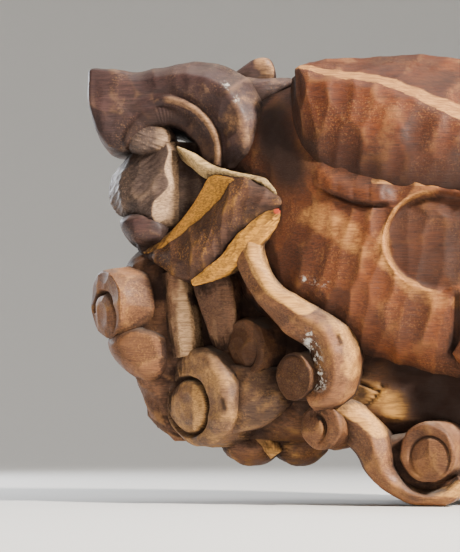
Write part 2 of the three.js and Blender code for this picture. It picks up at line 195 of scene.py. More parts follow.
# %% [markdown]
# ## From grids to meshes
# Every form is a grid of rings: the rings close on themselves, and a fan of triangles closes each end, so
# each form is a watertight shell. The forms overlap like the swellings of one body, and where two meet
# there is a crease, as a parting tool leaves. The head is the same on both sides, so most forms are made
# once and mirrored.

# %% Meshes
pieces = []
triangles = {}
mask_names = ["gap_shade", "mark", "red", "ridge", "shade", "tone", "worn_and_lit"]
near_side_only = ["mark", "red"]  # a mirror image doesn't repeat these


def shell_faces(rows, columns):
    """Corner numbers of the quads of a ring grid and of the two fans that close its ends."""
    index = np.arange(rows * columns).reshape(rows, columns)
    ahead = np.roll(index, -1, axis=1)
    quads = np.stack([index[:-1], ahead[:-1], ahead[1:], index[1:]], axis=-1).reshape(-1, 4)
    tips = rows * columns + np.array([0, 1])
    first = np.stack([np.full(columns, tips[0]), ahead[0], index[0]], axis=-1)
    last = np.stack([np.full(columns, tips[1]), index[-1], ahead[-1]], axis=-1)
    return quads, np.concatenate([first, last])


def volume(points, quads):
    """Six times the volume that the quads enclose: the sum of each triangle's triple product."""
    a, b, c, d = (points[quads[:, k]] for k in range(4))
    return np.sum(a * np.cross(b, c)) + np.sum(a * np.cross(c, d))


def add_piece(name, shells, mirrored=True):
    """One mesh object from ring grids. Each shell is (grid in drawing millimetres, masks), and each mask is
    a number for every point, or one for all of them, that the materials read by its name."""
    points, quads, fans, masks, start = [], [], [], {}, 0
    for grid, mask in shells:
        for side in (1, -1) if mirrored else (1,):
            ends = np.stack([grid[0].mean(axis=0), grid[-1].mean(axis=0)])
            flat = np.concatenate([grid.reshape(-1, 3), ends]) * [side, 1, 1]
            quad, fan = shell_faces(*grid.shape[:2])
            if volume(flat - flat.mean(axis=0), quad) < 0:
                quad, fan = quad[:, ::-1], fan[:, ::-1]
            points.append(flat)
            quads.append(quad + start)
            fans.append(fan + start)
            start += len(flat)
            for key in mask_names:
                values = np.broadcast_to(mask.get(key, 0.0), grid.shape[:2]).ravel()
                if key in near_side_only and side < 0:
                    values = values * 0
                masks.setdefault(key, []).append(np.concatenate([values, [values[0], values[-1]]]))
    points = (np.concatenate(points) - [0, neck_length, 0]) * MM
    quads, fans = np.concatenate(quads), np.concatenate(fans)
    mesh = bpy.data.meshes.new(name)
    mesh.vertices.add(len(points))
    mesh.vertices.foreach_set("co", points.astype(np.float32).ravel())
    mesh.loops.add(quads.size + fans.size)
    mesh.loops.foreach_set("vertex_index", np.concatenate([quads.ravel(), fans.ravel()]).astype(np.int32))
    mesh.polygons.add(len(quads) + len(fans))
    starts = np.concatenate([np.arange(len(quads)) * 4, quads.size + np.arange(len(fans)) * 3])
    mesh.polygons.foreach_set("loop_start", starts.astype(np.int32))
    mesh.update(calc_edges=True)
    mesh.shade_smooth()
    for key, values in masks.items():
        mesh.attributes.new(key, "FLOAT", "POINT").data.foreach_set("value", np.concatenate(values))
    piece = bpy.data.objects.new(name, mesh)
    bpy.context.scene.collection.objects.link(piece)
    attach(piece, "root")
    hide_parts("lion_head")
    pieces.append(piece)
    triangles[name] = 2 * len(quads) + len(fans)
    print(name, "has", triangles[name], "triangles")
    return piece


# %% [markdown]
# ## Marks of use
# Fresh pale wood shows where edges are rubbed, old paint and chips lie here and there, and painted
# highlights and painted shade lie where the light falls on the wood or misses it. Each is a mask: a number
# per point that falls off with the distance to a line drawn on the wood.

# %% Distance to a line
def line_distance(grid, line):
    """The distance from each point to a broken line: the least over its segments of the distance to the
    segment."""
    line = np.asarray(line, dtype=float)
    nearest = np.full(grid.shape[:-1], 1e6)
    for a, b in zip(line[:-1], line[1:]):
        way = b - a
        share = np.clip(((grid - a) @ way) / (way @ way), 0, 1)
        nearest = np.minimum(nearest, np.linalg.norm(grid - a - share[..., None] * way, axis=-1))
    return nearest


def near_line(grid, line, full, reach):
    """1 within `full` of the line, 0 beyond `reach`."""
    return 1 - ramp(line_distance(grid, line), full, reach)


above = line_distance(np.array([[2.0, 3.0]]), [[0, 0], [4, 0]])
print("a point 3 above a line from (0, 0) to (4, 0) is measured as", above[0], "from it")

# %% [markdown]
# ## The cheek and skull
# The body of the head is a swelling block that everything else lies on. Its cross section is a
# superellipse, a curve between an ellipse and a rectangle, and its width, top and bottom change along the
# head. The cheek carries a round sunk panel with a bevelled rim, and a groove cuts out the eyelid below the
# brow.

# %% Cheek and skull
def cross_rings(stations, square_low, square_high, belly, rows, columns, crowd=0.0):
    """Rings across the head: a point at angle a is the unit direction over the superellipse norm, stretched
    by the half width sideways and by the top or the bottom upward. `crowd` packs rows and points closer on
    the flanks."""
    t = np.linspace(0, 1, rows)
    t = t + crowd * np.sin(2 * np.pi * t) / (2 * np.pi)
    y, half, low, high = (v[:, None] for v in eased(stations, t).T)
    turn = np.linspace(-0.5, 1.5, columns, endpoint=False) * np.pi
    angle = turn - crowd * np.sin(2 * turn) / 2
    c, s = np.cos(angle), np.sin(angle)
    power = np.where(s < 0, square_low, square_high)
    size = (np.abs(c) ** power + np.abs(s) ** power) ** (-1 / power)
    centre = blend(low, high, belly)
    z = centre + s * size * np.where(s < 0, centre - low, high - centre)
    return np.stack(np.broadcast_arrays(half * c * size, y, z), axis=-1)


panel_middle = (-92.0, 25.0)  # y and z of the round panel on the cheek
panel_radius = 50.0
panel_squash = 1.12  # its width over its height
panel_depth = 9.0
rim_width, rim_height = 2.6, 1.0
# the eyelid's groove, as y and z
lid_line = [[-206, 80], [-190, 69], [-172, 61], [-150, 57], [-132, 58], [-116, 63]]
lid_height, tile_height, tile_length = 4.4, 1.2, 14.0
groove_width, groove_depth = 1.5, 3.6
cleft_line = [[-77, -26], [-76, -48], [-79, -74]]  # y and z of the short cleft below the panel
cleft_width, cleft_depth = 4.2, 6.0


def skull():
    """Superellipse rings, raised or sunk along their normals: the panel is a disc with soft edges, its rim
    and the grooves are bell curves, and the lid is a band above its groove, with tiles from the sine of
    y."""
    stations = [
        [-296, 44, 40, 150],
        [-266, 76, -26, 170],
        [-232, 100, -58, 184],
        [-190, 118, -76, 194],
        [-140, 128, -90, 199],
        [-85, 131, -108, 200],
        [-30, 127, -116, 194],
        [12, 108, -112, 176],
        [42, 84, -108, 148],
    ]
    smooth = cross_rings(stations, 3.6, 2.6, 0.46, 180, 360, crowd=0.55)
    y, z = smooth[..., 1], smooth[..., 2]
    flank = ramp(np.abs(smooth[..., 0]), 60, 90)
    from_middle = np.hypot(y - panel_middle[0], panel_squash * (z - panel_middle[1]))
    sunk = flank * (1 - ramp(from_middle, panel_radius - 3.5, panel_radius + 0.5))
    rim = flank * bell(from_middle - panel_radius, rim_width)
    above = z - np.interp(y, *np.array(lid_line).T)
    window = flank * ramp(y, -208, -184) * (1 - ramp(y, -146, -128))
    lid = window * ramp(above, -0.6, 1.4) * (1 - ramp(above, 8, 26))
    tiles = (above > 0) * np.abs(np.sin(np.pi * y / tile_length)) ** 0.35
    groove = window * bell(above, groove_width)
    cleft = flank * bell(line_distance(smooth[..., 1:], cleft_line), cleft_width)
    raised = lid_height * lid + tile_height * tiles * lid + rim_height * rim
    lowered = cleft_depth * cleft + groove_depth * groove + panel_depth * sunk
    shaped = smooth + outward(smooth) * (raised - lowered)[..., None]
    calm = ramp(-y, 170, 215) * ramp(z, -30, 30)
    low_edge = 0.6 * (1 - ramp(z, -100, -62))
    quiet = np.max([lid, calm, window * (above > 0), 0.5 * sunk, low_edge], axis=0)
    grid, masks = carved(shaped, 40, 18, 2.5 - 2.0 * quiet, seed=3, turned=True)
    side = grid[..., 1:]
    # painted highlights with some wear: the panel's lit rim, lit patches on the temple and edges by the panel
    temple = near_line(side, [[-205, 50], [-188, 42], [-168, 28], [-146, 20]], 4, 24)
    below_panel = near_line(side, [[-138, 2], [-112, -26], [-74, -30]], 2, 13)
    above_panel = near_line(side, [[-150, 79], [-101, 76], [-70, 75]], 1, 4)
    brightened = 0.8 * rim * ramp(-y, 80, 125) + 0.44 * (temple + below_panel) * flank
    masks["worn_and_lit"] = np.maximum(np.clip(brightened, 0, 1), 0.9 * above_panel * flank)
    # painted shade with grime in the lid's groove and the cleft
    masks["gap_shade"] = np.clip(0.8 * groove + 0.8 * cleft, 0, 1)
    # painted shade: the brow's cast shadow, the sunk panel's inside and a darker plane on the cheek
    brow_shadow = near_line(smooth, [[80, -248, 150], [92, -238, 116], [98, -224, 92]], 8, 36)
    dark_plane = near_line(side, [[-240, 12], [-214, 6], [-190, 0], [-176, -8]], 13, 19)
    masks["shade"] = np.clip(0.60 * sunk + 0.95 * brow_shadow + 0.10 * dark_plane * flank, 0, 1)
    masks["mark"] = 0.62 * near_line(side, [[-214, -7], [-200, -11], [-190, -13]], 1, 3.5)
    return grid, masks


add_piece("cheeks_and_skull", [skull()], mirrored=False)

# %% [markdown]
# ## Throat and neck
# Under the cheeks runs a narrower keel of wood that the beard's locks lie on. Behind it the plain neck ends
# in the flat back, which is sawn and not carved. Two drying cracks run across the throat on the side that
# the photograph shows, as they do in old thick timber.

# %% Throat
# y and z of each drying crack
cracks = [
    [[-142, -101], [-147, -109], [-151, -115], [-160, -122]],
    [[-172, -97], [-158, -102], [-147, -108]],
]
crack_width, crack_depth = 1.3, 4.0


def throat():
    """Superellipse rings, as the skull's. A crack is a bell curve of the distance to its line, sunk along the
    normals."""
    stations = [
        [-364, 12, -128, -50],
        [-344, 26, -146, 20],
        [-296, 44, -156, 40],
        [-235, 70, -158, 10],
        [-165, 88, -158, -20],
        [-90, 94, -164, -20],
        [-30, 94, -168, -20],
        [42, 78, -146, -20],
    ]
    smooth = cross_rings(stations, 2.8, 2.6, 0.4, 140, 200, crowd=0.6)
    grid, masks = carved(smooth, 46, 20, 1.4, seed=11)
    side = grid[..., 1:]
    opened = sum(bell(line_distance(side, crack), crack_width) for crack in cracks)
    opened = np.clip(opened, 0, 1) * (grid[..., 0] > 0)
    grid = grid - outward(grid) * (crack_depth * opened)[..., None]
    # painted highlight on the throat's lit slope, with wear
    masks["worn_and_lit"] = 0.6 * near_line(side, [[-168, -106], [-145, -114], [-130, -122]], 4, 26)
    # painted shade with grime in the cracks
    masks["gap_shade"] = opened
    # painted shade over the throat's back half, under the cheek
    masks["shade"] = ramp(grid[..., 1] + 0.5 * grid[..., 2], -202, -172) * (grid[..., 1] < 0)
    return grid, masks


add_piece("throat", [throat()], mirrored=False)

# %% Neck
back_half = np.array([88.0, 134.0])  # half width and half height of the flat back
back_corner = 14.0


def neck():
    """A box along y: each ring is a rectangle whose corners are quarter circles, at even steps. The last
    three rings shrink by up to 1.8 percent, which softens the edge of the sawn back."""
    turn = np.linspace(0, 2 * np.pi, 240, endpoint=False)
    core = np.sign(np.stack([np.cos(turn), np.sin(turn)], axis=-1)) * (back_half - back_corner)
    outline = core + back_corner * np.stack([np.cos(turn), np.sin(turn)], axis=-1)
    y = np.concatenate([np.linspace(-60, 54, 30), [55.6, 56.6, 57.0]])
    inset = np.concatenate([np.zeros(30), [0.2, 0.8, 1.8]])[:, None, None]
    ring = outline[None] * (1 - inset / 100)
    grid = np.stack(np.broadcast_arrays(ring[..., 0], y[:, None], ring[..., 1]), axis=-1)
    grid = evenly(grid, 200)
    grid, masks = carved(grid, 60, 26, 0.7 * ramp(57 - y, 2, 14)[:, None], seed=17)
    from_back = ramp(57 - y, 2, 8)[:, None]
    masks["tone"] = blend(0.45, masks["tone"], from_back)
    masks["ridge"] = masks["ridge"] * from_back
    return grid, masks


add_piece("neck", [neck()], mirrored=False)

# %% [markdown]
# ## The brows
# Each brow is an overhanging eave: a flat top, a sharp ridge, and a wall that curves in like a ship's bow.
# It could be cut from the skull with a boolean. A section whose corners move along the head keeps the ridge
# crisp and gives each face its own row of cuts.

# %% Brows
def brow():
    """Upright sections across the head, whose corners follow smooth curves: the crease, a wall that swells by
    the sine of its share, the ridge, the top and the inside. `back` moves the front end back where it nears
    the middle line, and a sine of y waves the top."""
    stations = [
        [-224, 84, 182, 88, 150, 2, 74, 188],
        [-219, 92, 189, 96, 120, 7, 70, 197],
        [-206, 98, 186, 105, 95, 11, 62, 202],
        [-180, 105, 177, 113, 78, 13, 54, 206],
        [-140, 114, 169, 123, 70, 12, 46, 208],
        [-74, 132, 134, 132, 68, 6, 40, 208],
        [-16, 135, 104, 132, 68, 2, 40, 200],
        [34, 112, 88, 112, 66, 1, 36, 176],
    ]
    rows = 135
    t = np.linspace(0, 1, rows) ** 1.25
    y, ridge_x, ridge_z, crease_x, crease_z, swell, top_x, top_z = eased(stations, t).T
    back = 26 * np.maximum(0, 1 - t * 12 / 5)
    wave = 2.5 * np.sin(y / 24.0) * ramp(y, -200, -150)

    def wall(share):
        out = swell * math.sin(math.pi * share) ** 0.7
        return blend(crease_x, ridge_x, share) + out, y, blend(crease_z, ridge_z, share)

    inner = -4.0
    corners = [
        (crease_x - 22, y, crease_z + 8),
        (crease_x - 2, y, crease_z),
        *[wall(share) for share in (0.06, 0.15, 0.26, 0.38, 0.5, 0.62, 0.74, 0.85, 0.94)],
        (ridge_x, y, ridge_z),
        (blend(ridge_x, top_x, 0.5), y + 0.3 * back, blend(ridge_z, top_z, 0.6) + 0.5 * wave),
        (top_x, y + 0.6 * back, top_z + wave),
        (blend(top_x, inner, 0.6), y + back, top_z + 1 + wave),
        (np.full(rows, inner), y + back, top_z - 3),
        (np.full(rows, inner), y + back, top_z - 40),
        (blend(crease_x - 22, inner, 0.5), y + 0.6 * back, blend(crease_z + 8, top_z - 40, 0.5)),
    ]
    grid = np.stack([np.stack(corner, axis=-1) for corner in corners], axis=1)
    smooth = rounded(grid, 215, 2)
    low_edge = ramp(smooth[..., 2] - crease_z[:, None], 3, 20)
    above_ridge = ramp(smooth[..., 2] - ridge_z[:, None], -4, 6)
    cut_depth = 0.3 + 2.0 * low_edge * (1 - 0.6 * above_ridge)
    grid, masks = carved(smooth, 38, 21, cut_depth, seed=23, turned=True)
    inward = ridge_x[:, None] - grid[..., 0]
    # painted highlight on the top strip along the ridge, with wear
    strip = 7 + 13 * t[:, None]
    top = (grid[..., 2] > ridge_z[:, None] - 1.5) * ramp(inward, -3, 0)
    on_strip = top * (1 - ramp(inward, 0.75 * strip, 1.25 * strip))
    masks["worn_and_lit"] = 0.8 * on_strip * ramp(grid[..., 1], -223, -219)
    # painted shade on the lower wall and the front end
    low_wall = 0.8 * (1 - ramp(grid[..., 2] - crease_z[:, None], 4, 66))
    masks["shade"] = np.maximum(low_wall, 0.75 * (1 - ramp(grid[..., 1], -221, -206))) * (1 - top)
    return grid, masks


add_piece("brows", [brow()])

# %% [markdown]
# ## The snout
# Gum, beaded lip, nostril wing and nose are one arch round the corner of the mouth. Drawn in polar form, an
# angle and a distance from that corner, the arch is one section swept through nearly 190 degrees: the bead is
# a bump in the section that fades towards the nose, and the outer radius grows to make the nose.

# %% Snout
mouth_corner = (-338.0, 116.0)  # y and z
# angle, inner radius, radius of the crease inside the bead, outer radius, half widths at the gum, the
# bead, the wing's ridge and the shoulder, and how full the bead is
snout_stations = [
    [-16, 30, 41, 70, 52, 62, 64, 56, 1.0],
    [0, 27, 40, 89, 53, 64, 75, 60, 1.0],
    [18, 26, 40, 96, 52, 64, 79, 58, 1.0],
    [36, 25, 40, 101, 52, 64, 79, 54, 1.0],
    [54, 25, 41, 101, 52, 64, 76, 50, 1.0],
    [72, 27, 43, 95, 51, 62, 70, 46, 1.0],
    [90, 29, 46, 88, 50, 59, 62, 44, 0.9],
    [104, 29, 48, 87, 49, 55, 56, 42, 0.65],
    [116, 31, 49, 91, 48, 52, 53, 42, 0.35],
    [126, 33, 50, 104, 47, 50, 52, 44, 0.12],
    [133, 34, 50, 115, 46, 49, 51, 45, 0],
    [138, 35, 50, 109, 46, 49, 51, 45, 0],
    [146, 36, 50, 97, 45, 48, 50, 45, 0],
    [155, 38, 50, 85, 44, 47, 49, 43, 0],
    [164, 40, 49, 74, 42, 45, 46, 40, 0],
    [171, 42, 47, 64, 36, 39, 40, 34, 0],
]
bead_width = 9.0


def snout():
    """Each ring is a row of corners (x, radius) and its mirror image. At its angle a, y is the mouth's corner
    plus radius times cosine a, and z the same with the sine."""
    rows = 160
    table = eased(snout_stations, np.linspace(0, 1, rows))
    angle, inner, crease, outer, gum, bead, wing, shoulder, full = table.T
    edge = crease + bead_width
    corners = [
        (0 * gum, inner),
        (0.5 * gum, inner),
        (gum - 3, inner),
        (gum + 0.5, inner + 1.5),
        (gum + 4, blend(inner, crease, 0.45)),
        (gum + 5, crease - 3),
        (bead - 6 * full, crease - 0.6),
        (bead - 1, crease + 1),
        (bead + 1.6 * full, crease + 4.5),
        (bead - 0.5, crease + 8),
        (bead - 5 * full, edge + 0.6),
        (blend(bead, wing, 0.45), blend(edge, outer, 0.24)),
        (wing - 1, blend(edge, outer, 0.47)),
        (wing - 0.6, blend(edge, outer, 0.55)),
        (blend(wing, shoulder, 0.5), blend(edge, outer, 0.8)),
        (shoulder + 3, outer - 3),
        (shoulder - 3, outer - 0.3),
        (0.55 * shoulder, outer + 0.8),
    ]
    right = np.array(corners)
    left = right[1:][::-1] * np.array([-1, 1])[None, :, None]
    top = np.stack([0 * outer, outer + 1])[None]
    x, radius = np.moveaxis(np.concatenate([right, top, left]), 2, 0).transpose(2, 0, 1)
    a = np.radians(angle)[:, None]
    ring = np.stack([x, mouth_corner[0] + radius * np.cos(a), mouth_corner[1] + radius * np.sin(a)], axis=-1)
    smooth = rounded(ring, 230, 3)
    y, z = smooth[..., 1] - mouth_corner[0], smooth[..., 2] - mouth_corner[1]
    distance = np.hypot(y, z)
    on_wing = ramp(distance, crease[:, None] + bead_width + 1, crease[:, None] + bead_width + 6)
    on_wing = on_wing * ramp(outer[:, None] + 6 - distance, 0, 4)
    on_gum = 1 - ramp(distance, crease[:, None] - 2, crease[:, None])
    ripple = 0.2 * on_gum * np.sin(np.degrees(np.arctan2(z, y)) * 1.3) * (1 - ramp(angle, 105, 120))[:, None]
    nose = ramp(angle, 112, 124)[:, None]
    chart = (np.radians(angle)[:, None] * 92, distance + 0.8 * np.abs(smooth[..., 0]))
    grid, masks = carved(smooth - outward(smooth) * ripple[..., None], 24, 26,
                         (1.8 - 0.9 * nose) * on_wing, seed=31, chart=chart)
    # painted highlights on the bead and the wing's lit right facet, with wear
    past_crease = distance - crease[:, None]
    on_bead = full[:, None] * ramp(past_crease, -1, 2) * (1 - ramp(past_crease, 7, 10))
    on_bead = on_bead * (np.abs(smooth[..., 0]) > 40)
    right_facet = ramp(angle, -2, 8)[:, None] * (1 - ramp(angle, 34, 46))[:, None] * on_wing
    masks["worn_and_lit"] = 0.44 * on_bead + 0.34 * right_facet
    # painted shade on the gum
    masks["shade"] = 0.5 * on_gum
    masks["mark"] = 0.6 * near_line(grid, [[72, -286, 180], [76, -276, 164]], 1, 5)
    return grid, masks


add_piece("snout", [snout()], mirrored=False)

# %% [markdown]
# ## Rounded blocks
# The lobe of the upper lip, the chin, the tuft and the lumps below the beard are rounded blocks seen from
# the side. Each is its outline in the side view, shrunk towards its middle as it nears its two faces: a
# pebble. A lattice or a sculpted ball would do too, but the outline is what the eye reads, so it is what is
# given.

# %% Pebbles
def pebble(outline, middle_x, half_x, square, rows=60, columns=160):
    """Rings in planes of constant x: the outline, scaled about its middle by the superellipse of x."""
    outline = np.asarray(outline, dtype=float)
    smooth = rounded(outline[None], columns, columns // 8)[0]
    middle = smooth.mean(axis=0)
    turn = np.linspace(-0.97, 0.97, rows) * np.pi / 2
    share = np.sign(np.sin(turn)) * np.abs(np.sin(turn)) ** (2 / square)
    size = np.abs(np.cos(turn)) ** (2 / square)
    side = middle + (smooth - middle) * size[:, None, None]
    x = np.broadcast_to((middle_x + half_x * share)[:, None], side.shape[:2])
    return np.stack([x, side[..., 0], side[..., 1]], axis=-1)


def slanted(grid):
    """Two lengths to lay cuts out in on a block: y and z, each with a share of x, so no face is seen edge
    on."""
    return grid[..., 1] + 0.7 * grid[..., 0], grid[..., 2] - 0.6 * grid[..., 0]


def cut_block(grid, length, width, depth, seed):
    """A block after the gouge, with its cuts laid out on the slanted lengths."""
    return carved(grid, length, width, depth, seed, chart=slanted(grid))


def fibres(grid, height, pitch, slope, seed):
    """Torn fibres: a sum of three sines of the distance across the grain, each broken up along the
    grain."""
    across = grid[..., 2] - slope * grid[..., 1]
    along = grid[..., 1] + slope * grid[..., 2] + 0.6 * grid[..., 0]
    total = 0
    for k in (1.0, 1.73, 2.91):
        slow = np.sin(along / (pitch * 4.1 / k) + seed * k)
        quick = np.sin(along / (pitch * 2.3 / k) + 2 * seed + across / 9)
        total = total + np.sin(2 * np.pi * across / (pitch / k) + 1.3 * (slow + quick) + seed) / k
    return grid + outward(grid) * (height * total)[..., None]


print("a block of 60 rings with 160 points each:", pebble([[0, 0], [9, 0], [9, 6], [0, 6]], 0, 5, 3.0).shape)

# %% Upper lip, bridge, tuft, chin
# outlines in the side view, as y and z
lip_outline = [
    [-386, 136], [-379, 146], [-366, 150], [-352, 150], [-341, 145], [-335, 136], [-337, 126], [-350, 119],
    [-368, 117], [-382, 124],
]
tuft_outline = [
    [-286, 196], [-273, 207], [-264, 213], [-254, 217], [-246, 215], [-242, 206], [-240, 194], [-250, 184],
    [-268, 182],
]
bridge_outline = [
    [-392, 182], [-360, 190], [-320, 196], [-270, 194], [-240, 192], [-212, 194], [-214, 160], [-250, 146],
    [-310, 146], [-370, 152],
]
chin_outline = [
    [-391, 58], [-388, 47], [-380, 36], [-366, 30], [-344, 30], [-334, 46], [-346, 62], [-374, 66],
]
jaw_outline = [[-378, 36], [-364, 16], [-352, -6], [-330, -14], [-316, 6], [-320, 44], [-350, 52]]

upper_lip = fibres(pebble(lip_outline, 20, 27, 4.0, 56, 120), 0.22, 5.0, -0.35, 1.0)
upper_lip_masks = {"tone": 0.4, "worn_and_lit": 0.5 * ramp(upper_lip[..., 1], -366, -346)}
add_piece("upper_lip", [(upper_lip, upper_lip_masks)])

bridge = cut_block(pebble(bridge_outline, 0, 50, 3.2, 50, 150), 26, 18, 1.2, 5)
tuft, tuft_masks = cut_block(pebble(tuft_outline, 0, 17, 6.0, 40, 100), 24, 16, 1.1, 6)
# painted highlight on the tuft's lit side
tuft_masks["worn_and_lit"] = 0.5 * ramp(tuft[..., 0], 11, 15) * ramp(tuft[..., 1], -268, -258)
chin = cut_block(pebble(chin_outline, 0, 42, 3.4, 50, 130), 24, 16, 1.1, 7)
jaw = pebble(jaw_outline, 0, 30, 5.0, 30, 80)
# the jaw block carries painted shade
add_piece("bridge_tuft_and_chin", [bridge, (tuft, tuft_masks), chin, (jaw, {"shade": 0.6})], mirrored=False)

# %% [markdown]
# ## The teeth
# The front teeth are cut as one block with flat faces and sharp arrises, like a boat's bow. Its plan is a
# polygon whose corners move as it goes down. The front faces are end grain, which tears, so they carry torn
# fibres.

# %% Teeth
# z, fall of the level towards the front, front y, shoulder x and y, ridge x and y, inner edge x and y
teeth_stations = [
    [130, 0.00, -380, 24, -372, 43, -344, 36, -330],
    [118, 0.00, -388, 25, -378, 46, -341, 38, -329],
    [103, 0.00, -399, 26, -388, 46, -345, 38, -331],
    [87, 0.00, -403, 26, -391, 46, -341, 38, -332],
    [71, 0.05, -400, 25, -388, 45, -355, 37, -334],
    [58, 0.14, -394, 23, -383, 44, -357, 36, -334],
    [50, 0.24, -386, 19, -377, 40, -353, 34, -335],
    [46, 0.24, -377, 15, -369, 34, -349, 31, -336],
]


def teeth():
    """Nearly level rings, each a polygon: the front, a ridge, a facet that turns back from the ridge, and a
    hollow between the facet and the lip."""
    z, fall, front, sx, sy, rx, ry, ix, iy = eased(teeth_stations, np.linspace(0, 1, 80)).T
    middle = 0 * z
    back, step, root = middle - 292, middle - 304, middle - 318
    inside = [(middle, back), (0.7 * ix, back), (ix + 1, step), (ix - 5, root)]
    face = (blend(sx, rx, 0.45), blend(sy, ry, 0.35))
    right = np.array([*inside, (ix, iy), (rx, ry), face, (sx, sy), (middle, front)])
    left = right[1:-1][::-1] * np.array([-1, 1])[None, :, None]
    plan = np.moveaxis(np.concatenate([right, left]), 2, 0)
    level = z[:, None] - fall[:, None] * (plan[..., 1] + 340)
    smooth = rounded(np.concatenate([plan, level[..., None]], axis=-1), 230, 1)
    forward = -smooth[..., 1]
    front_face = ramp(forward, 346, 358)
    torn = fibres(smooth, 0.22, 7.0, 0.8, 2.0)
    grid = blend(smooth, torn, front_face[..., None])
    grid, masks = cut_block(grid, 22, 26, 1.5 * blend(0.4, 1, front_face), 37)
    ridge = -ry[:, None]
    # painted highlight on the lit facet behind the ridge
    masks["worn_and_lit"] = 0.65 * ramp(forward, 330, 333) * (1 - ramp(forward, ridge - 1, ridge + 2))
    # painted shade on the back of the block, inside the mouth
    masks["shade"] = 0.5 * (1 - ramp(forward, 322, 331))
    return grid, masks


add_piece("teeth", [teeth()], mirrored=False)

# %% [markdown]
# ## The lower lip
# The lower lip flares out along the jaw to the corner of the mouth. A chamfer inside its rim is painted
# bright, as rubbed wood and as a painted highlight where it faces the light. The section turns with the jaw
# line: each point is so far out from the rim, square to the rim's run.

# %% Lower lip
# the rim's x, y, z, the chamfer's inner edge x, y, z, the lower edge's z, and the outer face's swell
lower_lip_stations = [
    [30, -366, 25, 26, -368, 28, 20, 0],
    [37, -354, 27, 31, -357, 33, 14, 3],
    [46, -341, 33, 36, -346, 41, 3, 8],
    [54, -322, 46, 43, -332, 53, -6, 13],
    [62, -306, 58, 51, -318, 70, -8, 16],
    [70, -291, 71, 58, -309, 84, 2, 15],
    [77, -281, 85, 64, -301, 94, 20, 13],
    [84, -268, 89, 72, -284, 93, 36, 11],
    [92, -250, 81, 78, -266, 84, 52, 8],
    [97, -229, 66, 82, -246, 66, 61, 1],
]


def lower_lip():
    """Upright sections square to the rim. The section's corners are the back, the lower edge, the swollen
    face, the rim, the chamfer's inner edge and the inside."""
    rows = 140
    table = eased(lower_lip_stations, np.linspace(0, 1, rows))
    rim, inner, low, swell = table[:, :3], table[:, 3:6], table[:, 6], table[:, 7]
    turn = np.arctan2(np.gradient(rim[:, 1]), np.gradient(rim[:, 0]))
    across = np.stack([np.sin(turn), -np.cos(turn), 0 * turn], axis=-1)
    up = np.array([0, 0, 1.0])

    def out(distance, share):
        height = blend(low, rim[:, 2], share) - rim[:, 2]
        return rim + across * np.broadcast_to(distance, rows)[:, None] + height[:, None] * up

    corners = [
        out(-34, 0.3),
        out(-20, 0.06),
        out(-6, 0),
        out(0.45 * swell, 0.07),
        out(0.95 * swell, 0.35),
        out(0.9 * swell, 0.6),
        out(0.5 * swell, 0.85),
        rim,
        inner,
        inner - [5, -2, 6],
        inner - [26, -8, 12],
    ]
    smooth = rounded(np.stack(corners, axis=1), 110, 1)
    share = np.linspace(0, 1, rows)[:, None]
    on_rim = 1 - ramp(np.linalg.norm(smooth - rim[:, None], axis=-1), 0, 1.5)
    inside = np.maximum(on_rim, smooth[..., 2] > rim[:, None, 2]) * (1 - ramp(share, 0.68, 0.74))
    grid, masks = carved(smooth, 15, 40, 1.6 - 1.3 * inside, seed=41)
    # the rim and chamfer: rubbed wood and a painted highlight
    masks["worn_and_lit"] = inside
    return grid, masks


add_piece("lower_lip", [lower_lip()])

# %% [markdown]
# ## Locks
# A lock of the beard is a ribbon with two planed faces that meet in a ridge. It is one section carried
# along a path that curves in space. The section stays square to the path and faces a given way at each end.

# %% Lock
# across the lock in widths, and up in heights of the ridge or down in depths of its root
lock_section = [[-0.5, -1.0], [-0.5, 0.1], [-0.43, 0.45], [-0.12, 1.0], [0.42, 0.35], [0.5, 0.1], [0.5, -1.0]]


def unit(vectors):
    """Each vector divided by its length."""
    return vectors / np.maximum(np.linalg.norm(vectors, axis=-1, keepdims=True), 1e-9)


def lock(stations, start_facing, end_facing, sink, spacing=2.7):
    """A section carried along the path: the path's own direction, crossed with the facing, is sideways, and
    sideways crossed with the path is outward. Stations are x, y, z, width and height of the ridge."""
    rough = eased(stations, np.linspace(0, 1, 60))[:, :3]
    rows = int(run_of(rough, 0)[-1] / spacing)
    t = np.linspace(0, 1, rows)
    path = eased(stations, t)
    ahead = unit(np.gradient(path[:, :3], axis=0))
    facing = blend(np.array(start_facing), np.array(end_facing), t[:, None])
    sideways = unit(np.cross(ahead, facing))
    upright = unit(np.cross(sideways, ahead))
    width, crest = path[:, 3:4], path[:, 4:5]
    w, h = np.array(lock_section).T
    lift = np.where(h < -0.5, h * sink, h * crest)
    ring = path[:, None, :3] + sideways[:, None] * (w * width)[..., None] + upright[:, None] * lift[..., None]
    columns = int(2 * (sink + max(path[:, 3])) / spacing)
    return rounded(ring, columns, 2)


def lit_and_worn_all_over(pair, amount):
    """The same grid, with its mask of worn wood and painted highlight one amount everywhere."""
    return pair[0], {**pair[1], "worn_and_lit": amount}


lip_edge = lock([
    [47, -333, 124, 2, 1], [53, -319, 115, 7, 2], [58, -309, 107, 9, 2], [64, -298, 101, 8, 2],
    [71, -287, 97, 5, 2], [79, -272, 92, 6, 2], [88, -252, 86, 8, 2], [94, -240, 76, 7, 2],
    [97, -231, 65, 3, 1],
], (0.75, -0.2, 0.6), (0.8, 0.2, 0.5), 16, 1.2)
strap = lock([
    [94, -229, 64, 5, 2], [96, -240, 53, 16, 3], [95, -254, 39, 24, 3], [91, -269, 25, 24, 3],
    [86, -283, 11, 19, 3], [79, -299, 1, 14, 2], [70, -317, -7, 7, 1],
], (0.95, 0, 0.2), (0.8, -0.4, -0.2), 20, 1.3)
